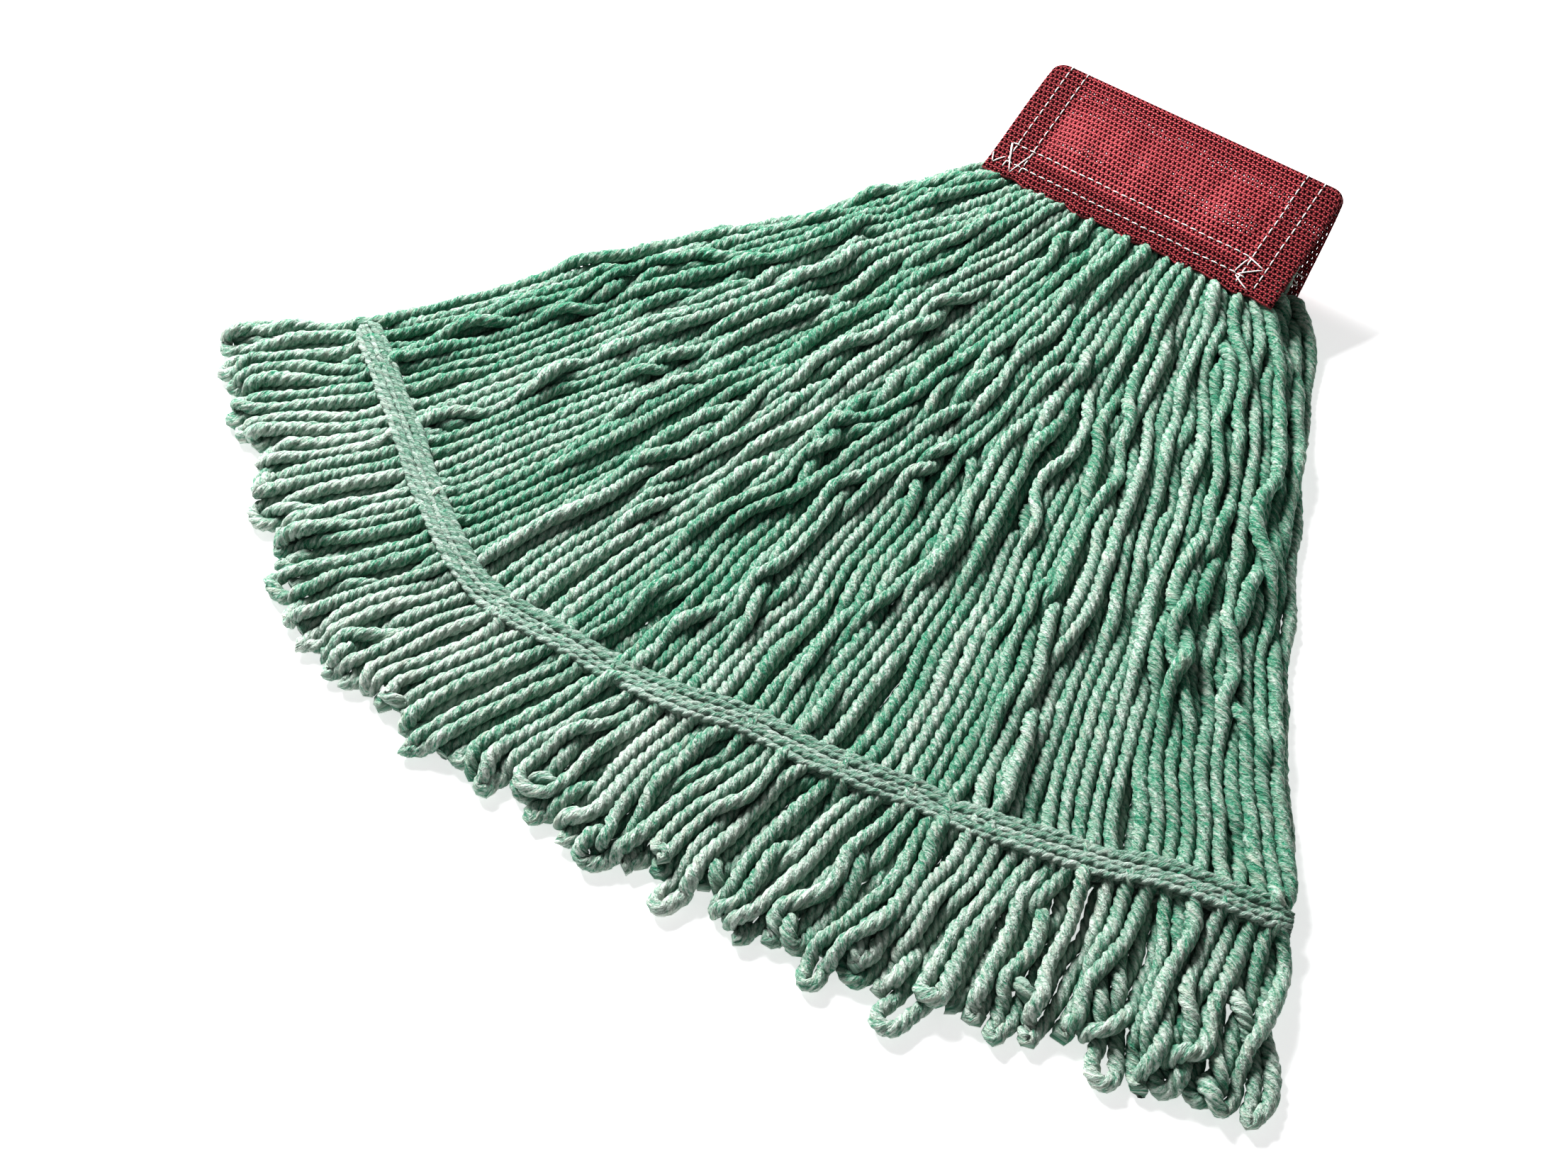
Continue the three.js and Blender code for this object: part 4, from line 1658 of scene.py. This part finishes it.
    def sew(self) -> list[bpy.types.Object]:
        """Sews the hem rows, the seam rows and the back-tacks.

        Returns:
            The stitching of each half.
        """
        half_width, total = self.layout.band_width / 2, self.total
        front = self.layout.lengths[0]
        left = [-half_width + row for row in self.left_rows]
        right = [half_width - row for row in self.right_rows]
        made = []
        middle = front + self.arc / 2
        for half in Half:
            work = Stitches()

            def place(x: np.ndarray, up: np.ndarray) -> Pair:
                """Turns places above the lower edge into points on the cloth, with directions out."""
                return self.surface(x, up if half is Half.FRONT else total - up, 0.0)

            length = middle if half is Half.FRONT else total - middle
            for x in (*left, *right):
                work.row(place, ((x, 4 * MM), (x + 0.4 * MM, length - 0.3 * MM)), 0.12 * MM)
            low, high = self.seam_rows
            work.row(place, ((left[0] - 3 * MM, high), (right[1] - 0.5 * MM, high)), 0.15 * MM)
            work.row(place, ((left[0] - 1 * MM, low), (right[1] + 3 * MM, low)), 0.15 * MM)
            for corners in self.tacks(half):
                work.strokes(place, corners)
            if half is Half.BACK:
                plan = ((79, 15), (66.5, 16.2), (78, 10.5), (67.5, 8), (77, 3))
                inner = [(x * MM, up * MM) for x, up in plan]

                def inside(x: np.ndarray, up: np.ndarray) -> Pair:
                    """Turns places above the lower edge into points on the inner side, with directions out."""
                    points, out = self.surface(x, total - up, self.thickness + 2 * self.fold_radius)
                    return points, -out

                work.strokes(inside, inner)
                work.strokes(inside, [(-x, up) for x, up in inner])
            thread = work.piece(f"{half.value}_stitching", self.thread)
            sides = [f"{half.value}_{side}" for side in ("left", "right")]
            nodes = [f"{side}_hem_thread_{row}" for side in sides for row in ("outer", "inner")]
            nodes += [f"{side}_back_tack" for side in sides]
            nodes += [f"{half.value}_seam_thread_{row}" for row in ("lower", "upper")]
            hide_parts(*nodes)
            self.bend_over_crown(thread)
            made.append(thread)
        return made

    def tacks(self, half: Half) -> list[list[Point]]:
        """Plans the back-tacks' corners.

        Args:
            half: Which half of the band.

        Returns:
            The corners of each tack, as places along the band and above its lower edge.
        """
        if half is Half.FRONT:
            plans = [
                [(-74, 18), (-66, 3), (-60.5, 17.5)],
                [(-73.5, 18), (-69, 9)],
                [(-79, 9.5), (-76.5, 4.5), (-72, 10)],
                [(57, 18), (67, 15), (56.5, 7.5), (66, 2.5)],
                [(58, 17), (55.5, 8.5)],
            ]
        else:
            plans = [
                [(-74, 17), (-66, 4), (-61, 17), (-57, 5)],
                [(74, 17), (66, 4), (61, 17), (57, 5)],
            ]
        return [[(x * MM, up * MM) for x, up in plan] for plan in plans]

    def bend_over_crown(self, piece: bpy.types.Object) -> None:
        """Bakes a piece's placement into its mesh.

        Args:
            piece: The piece, which crosses the crown.
        """
        place = self.layout
        zero = np.array(0.0)
        start = place.on_panel(Half.BACK, zero, zero, zero)
        end = place.on_panel(Half.FRONT, zero, zero, zero)
        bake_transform(piece)


# ---------------------------------------------------------------------------
# Tail bands
# ---------------------------------------------------------------------------


@dataclass
class TailBand:
    """Five fine cords above and below a skein, sewn together across the strands."""

    half: Half
    layout: Layout
    cord: bpy.types.Material
    thread: bpy.types.Material
    offsets: tuple[float, ...] = (-5.0 * MM, -2.6 * MM, 0.0, 2.6 * MM, 5.0 * MM)
    radius: float = 1.75 * MM
    middle_radius: float = 1.55 * MM
    crown: float = 2.3 * MM
    edge_drop: float = 0.7 * MM
    ring_step: float = 1.1 * MM
    pitch: float = 9.5 * MM
    lobe: tuple[float, ...] = (0.76, 0.93, 1.05, 1.05, 0.93)
    plies: int = 2
    seed: int = 41

    def line(self, offset: float, upper: bool, u: np.ndarray) -> Pair:
        """The band's surface line over or under the strands.

        Args:
            offset: Distance across the band from its middle.
            upper: Whether it is above the strands.
            u: Place across the skein.

        Returns:
            The points and how far round the end of the band they are.
        """
        place = self.layout
        along, height = place.tail_line(self.half, u)
        centre = place.plan(self.half, u, along)
        ahead = headings(centre)
        narrow = 0.45 + 0.55 * smooth_step((1.0 - np.abs(u)) / 0.04)
        flat = centre + np.stack([ahead[:, 1], -ahead[:, 0]], 1) * (offset * narrow)[:, None]
        dome = self.crown - self.edge_drop * (abs(offset) / (6 * MM)) ** 2 - (0.5 * MM if offset == 0 else 0)
        weave = 0.22 * MM * np.sin(TURN * u * 23 + offset * 700)
        close = smooth_step((1.001 - np.abs(u)) / 0.03)
        rise = (dome + weave) * np.sqrt(np.clip(close, 0, 1)) * (1 if upper else -1)
        z = height + rise
        return np.concatenate([flat, z[:, None]], 1), ahead

    def build(self) -> None:
        """Builds the cords and the stitch rows, and lets them go with their skein."""
        rng = np.random.default_rng(self.seed)
        parts = []
        u = np.linspace(-0.999, 0.999, 700)
        for upper in (True, False):
            for offset in self.offsets:
                line, ahead = self.line(offset, upper, u)
                stray = 0.55 * MM * wander(rng, 2, len(u), 36)
                line[:, :2] += np.stack([ahead[:, 1], -ahead[:, 0]], 1) * stray[0][:, None]
                line[:, 2] = np.maximum(line[:, 2] + 0.6 * stray[1], self.radius * 1.15)
                radius = self.middle_radius if offset == 0 else self.radius
                parts.append(self.twisted(line, radius, rng))
        verts, faces, uv, tones_and_painted_light = [], [], [], []
        start = 0
        for v, f, w, t in parts:
            verts.append(v)
            faces.append(f + start)
            uv.append(w)
            tones_and_painted_light.append(t)
            start += len(v)
        body = f"{self.half.value}_skein"
        name = f"{self.half.value}_tail_band"
        obj = mesh_object(name, np.concatenate(verts), np.concatenate(faces), np.concatenate(uv))
        paint(obj, "tone_and_painted_light", np.concatenate(tones_and_painted_light))
        obj.data.materials.append(self.cord)
        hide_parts(f"{self.half.value}_tail_band_upper", f"{self.half.value}_tail_band_lower")
        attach(obj, body)
        log.info("%s: %d faces", obj.name, len(obj.data.polygons))
        work = Stitches(radius=0.26 * MM, dash=2.4 * MM, gap=1.3 * MM, rise=0.12 * MM)
        for offset in (-1.45 * MM, 1.45 * MM):
            u = np.linspace(-0.985, 0.985, 900)
            line, _ = self.line(offset, True, u)
            line[:, 2] += 0.55 * MM
            line = even_line(line, 900)
            count = round(run_length(line) / (work.dash + work.gap))
            each = 899 / count
            for k in range(count):
                at = np.linspace(k * each + each * 0.17, (k + 1) * each - each * 0.17, work.rings)
                work.stitch(catmull(line, at), np.tile([0.0, 0.0, 1.0], (work.rings, 1)))
        stitches = work.piece(f"{self.half.value}_tail_stitching", self.thread)
        if self.half is Half.FRONT:
            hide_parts("front_tail_band_stitch")
        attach(stitches, body)

    def twisted(
        self, line: np.ndarray, radius: float, rng: np.random.Generator
    ) -> tuple[np.ndarray, np.ndarray, np.ndarray, np.ndarray]:
        """Sweeps one fine cord along a line.

        Args:
            line: The cord's centre line.
            radius: The cord's radius.
            rng: The seeded generator.

        Returns:
            Vertices, faces, corner coordinates and vertex tones with painted crease shade.
        """
        length = run_length(line)
        count = int(length / self.ring_step)
        centres = even_line(line, count)
        sides = self.plies * len(self.lobe)
        ahead = np.gradient(centres, axis=0)
        ahead /= np.linalg.norm(ahead, axis=1)[:, None]
        up = np.array([0.0, 0.0, 1.0]) - ahead * ahead[:, 2:3]
        up /= np.linalg.norm(up, axis=1)[:, None]
        beside = np.cross(ahead, up)
        run = np.linspace(0, length, count)
        turned = -2 * np.pi * run / self.pitch + 0.7 * wander(rng, 1, count, 50)[0] + rng.uniform(0, 6)
        angle = turned[:, None] + np.arange(sides) / sides * 2 * np.pi
        thick = radius * (1 + 0.14 * wander(rng, 1, count, 70)[0])
        to_end = np.minimum(run, length - run)
        thick = thick * (0.45 + 0.55 * smooth_step(to_end / (6 * MM)))
        reach = thick[:, None] * np.tile(self.lobe, self.plies)
        skin = centres[:, None] + reach[..., None] * (
            np.cos(angle)[..., None] * up[:, None] + np.sin(angle)[..., None] * beside[:, None]
        )
        ring, side = np.meshgrid(np.arange(count - 1), np.arange(sides), indexing="ij")
        near = (side + 1) % sides
        faces = np.stack(
            [ring * sides + side, ring * sides + near, (ring + 1) * sides + near, (ring + 1) * sides + side], -1
        ).reshape(-1, 4)
        ends = [np.arange(sides)[::-1], np.arange(sides) + (count - 1) * sides]
        first = np.arange(1, sides - 2, 2)
        lids = np.concatenate(
            [np.stack([np.full(len(first), e[0]), e[first], e[first + 1], e[first + 2]], -1) for e in ends]
        )
        u = np.stack([side, side + 1, side + 1, side], -1).reshape(-1) / sides
        v = run[np.stack([ring, ring, ring + 1, ring + 1], -1).reshape(-1)] * 2.5
        uv = np.concatenate([np.stack([u, v], 1), np.zeros((len(lids) * 4, 2))]) + rng.uniform(0, 9)
        tones_and_painted_light = np.zeros((count, sides, 3))
        tones_and_painted_light[..., 0] = 0.5 + 0.4 * rng.uniform(-1, 1)
        ply_tone = wander(rng, self.plies, count, 30)
        tones_and_painted_light[..., 1] = 0.5 + 0.5 * ply_tone[np.arange(sides) // len(self.lobe)].T
        # painted shade at the cords' ply creases
        tones_and_painted_light[..., 2] = np.where(np.tile(self.lobe, self.plies) < 0.8, 0.45, 0.0)
        return skin.reshape(-1, 3), np.concatenate([faces, lids]), uv, tones_and_painted_light.reshape(-1, 3)


# ---------------------------------------------------------------------------
# Setting
# ---------------------------------------------------------------------------


@dataclass(frozen=True)
class Camera:
    """A camera that looks down at the mop from beyond its lower right corner."""

    place: tuple[float, float, float] = (0.3311, -0.4792, 0.6649)
    heading: float = 38.83
    pitch: float = 52.44
    roll: float = 0.71
    lens: float = 45.7
    sensor: float = 36.0

    def build(self) -> bpy.types.Object:
        """Makes the scene's camera."""
        data = bpy.data.cameras.new("camera")
        data.lens = self.lens
        data.sensor_width = self.sensor
        data.clip_start = 0.01
        data.clip_end = 20.0
        h, p, r = (math.radians(v) for v in (self.heading, self.pitch, self.roll))
        ahead = Vector((-math.sin(h) * math.cos(p), math.cos(h) * math.cos(p), -math.sin(p)))
        right = Vector((math.cos(h), math.sin(h), 0.0))
        below = ahead.cross(right)
        turned_right = right * math.cos(r) + below * math.sin(r)
        turned_below = below * math.cos(r) - right * math.sin(r)
        camera = bpy.data.objects.new("camera", data)
        turn = Matrix((turned_right, -turned_below, -ahead)).transposed()
        camera.matrix_world = Matrix.Translation(self.place) @ turn.to_4x4()
        bpy.context.scene.collection.objects.link(camera)
        bpy.context.scene.camera = camera
        return camera


@dataclass(frozen=True)
class Studio:
    """Plain pale floor and soft studio light, low from the left and behind."""

    floor_size: float = 9.0
    floor_colour: Rgb = (0.93, 0.93, 0.93)
    floor_glow: float = 0.62
    world_strength: float = 0.20
    key_power: float = 98.0
    key_place: tuple[float, float, float] = (-1.15, 0.42, 1.00)
    key_size: float = 0.60

    def build(self) -> None:
        """Makes the floor, the key light and the pale world."""
        bpy.ops.object.select_all(action="DESELECT")
        bpy.ops.mesh.primitive_plane_add(size=self.floor_size, location=(0, 0, -0.0004))
        floor = bpy.context.object
        floor.name = "floor"
        g = Graph("pale_floor")
        coords = g.add("ShaderNodeTexCoord")
        mottle = g.noise(coords, "Object", 3.0, 2.0)
        colour = g.ramp(
            mottle, "Fac", [(0.3, self.floor_colour), (0.7, tuple(c * 1.01 for c in self.floor_colour))]
        )
        g.join(colour, 0, g.shader, "Base Color")
        g.shader.inputs["Roughness"].default_value = 0.9
        g.shader.inputs["Emission Color"].default_value = (1.0, 1.0, 1.0, 1.0)
        g.shader.inputs["Emission Strength"].default_value = self.floor_glow
        floor.data.materials.append(g.material)
        world = bpy.data.worlds.new("studio")
        world.use_nodes = True
        back = world.node_tree.nodes["Background"]
        back.inputs["Color"].default_value = (1.0, 1.0, 1.0, 1.0)
        back.inputs["Strength"].default_value = self.world_strength
        bpy.context.scene.world = world
        bpy.context.scene.view_settings.view_transform = "Standard"
        data = bpy.data.lights.new("key", "AREA")
        data.energy = self.key_power
        data.size = self.key_size
        key = bpy.data.objects.new("key", data)
        place = Vector(self.key_place)
        aim = Vector((0.02, -0.02, 0.0)) - place
        key.matrix_world = Matrix.Translation(place) @ aim.to_track_quat("-Z", "Y").to_matrix().to_4x4()
        bpy.context.scene.collection.objects.link(key)


def main() -> None:
    """Builds the camera, the yarn, the headband and the setting in order."""
    Camera().build()
    layout = Layout.from_frame(frame["joints"])
    yarn = YarnFinish().build()
    pile = YarnPile(layout)
    log.info("yarn pile settled: %s loops", len(pile.lines))
    band_cord = YarnFinish(
        name="pale_band_cord",
        deep=linear(62, 120, 94),
        body=linear(124, 158, 142),
        pale=linear(190, 204, 194),
        grey=linear(176, 184, 172),
        # painted shade for the cords' ply creases
        crevice_shade=linear(44, 100, 78),
    ).build()
    groove_thread = ThreadFinish("green_thread", linear(24, 60, 44), linear(58, 104, 82)).build()
    white_thread = ThreadFinish("white_thread", linear(226, 222, 216), linear(255, 253, 250)).build()
    cloth = KnitFinish("crimson_mesh", linear(74, 0, 8), linear(176, 12, 30), linear(246, 104, 112)).build()
    facing = KnitFinish("dark_red_facing", linear(70, 10, 16), linear(120, 24, 32), linear(150, 50, 56)).build()
    for half in Half:
        Skein(half, layout, pile, yarn).build()
        TailBand(half, layout, band_cord, groove_thread).build()
    Headband(layout, cloth, facing, white_thread).build()
    Studio().build()


if __name__ == "__main__":
    main()
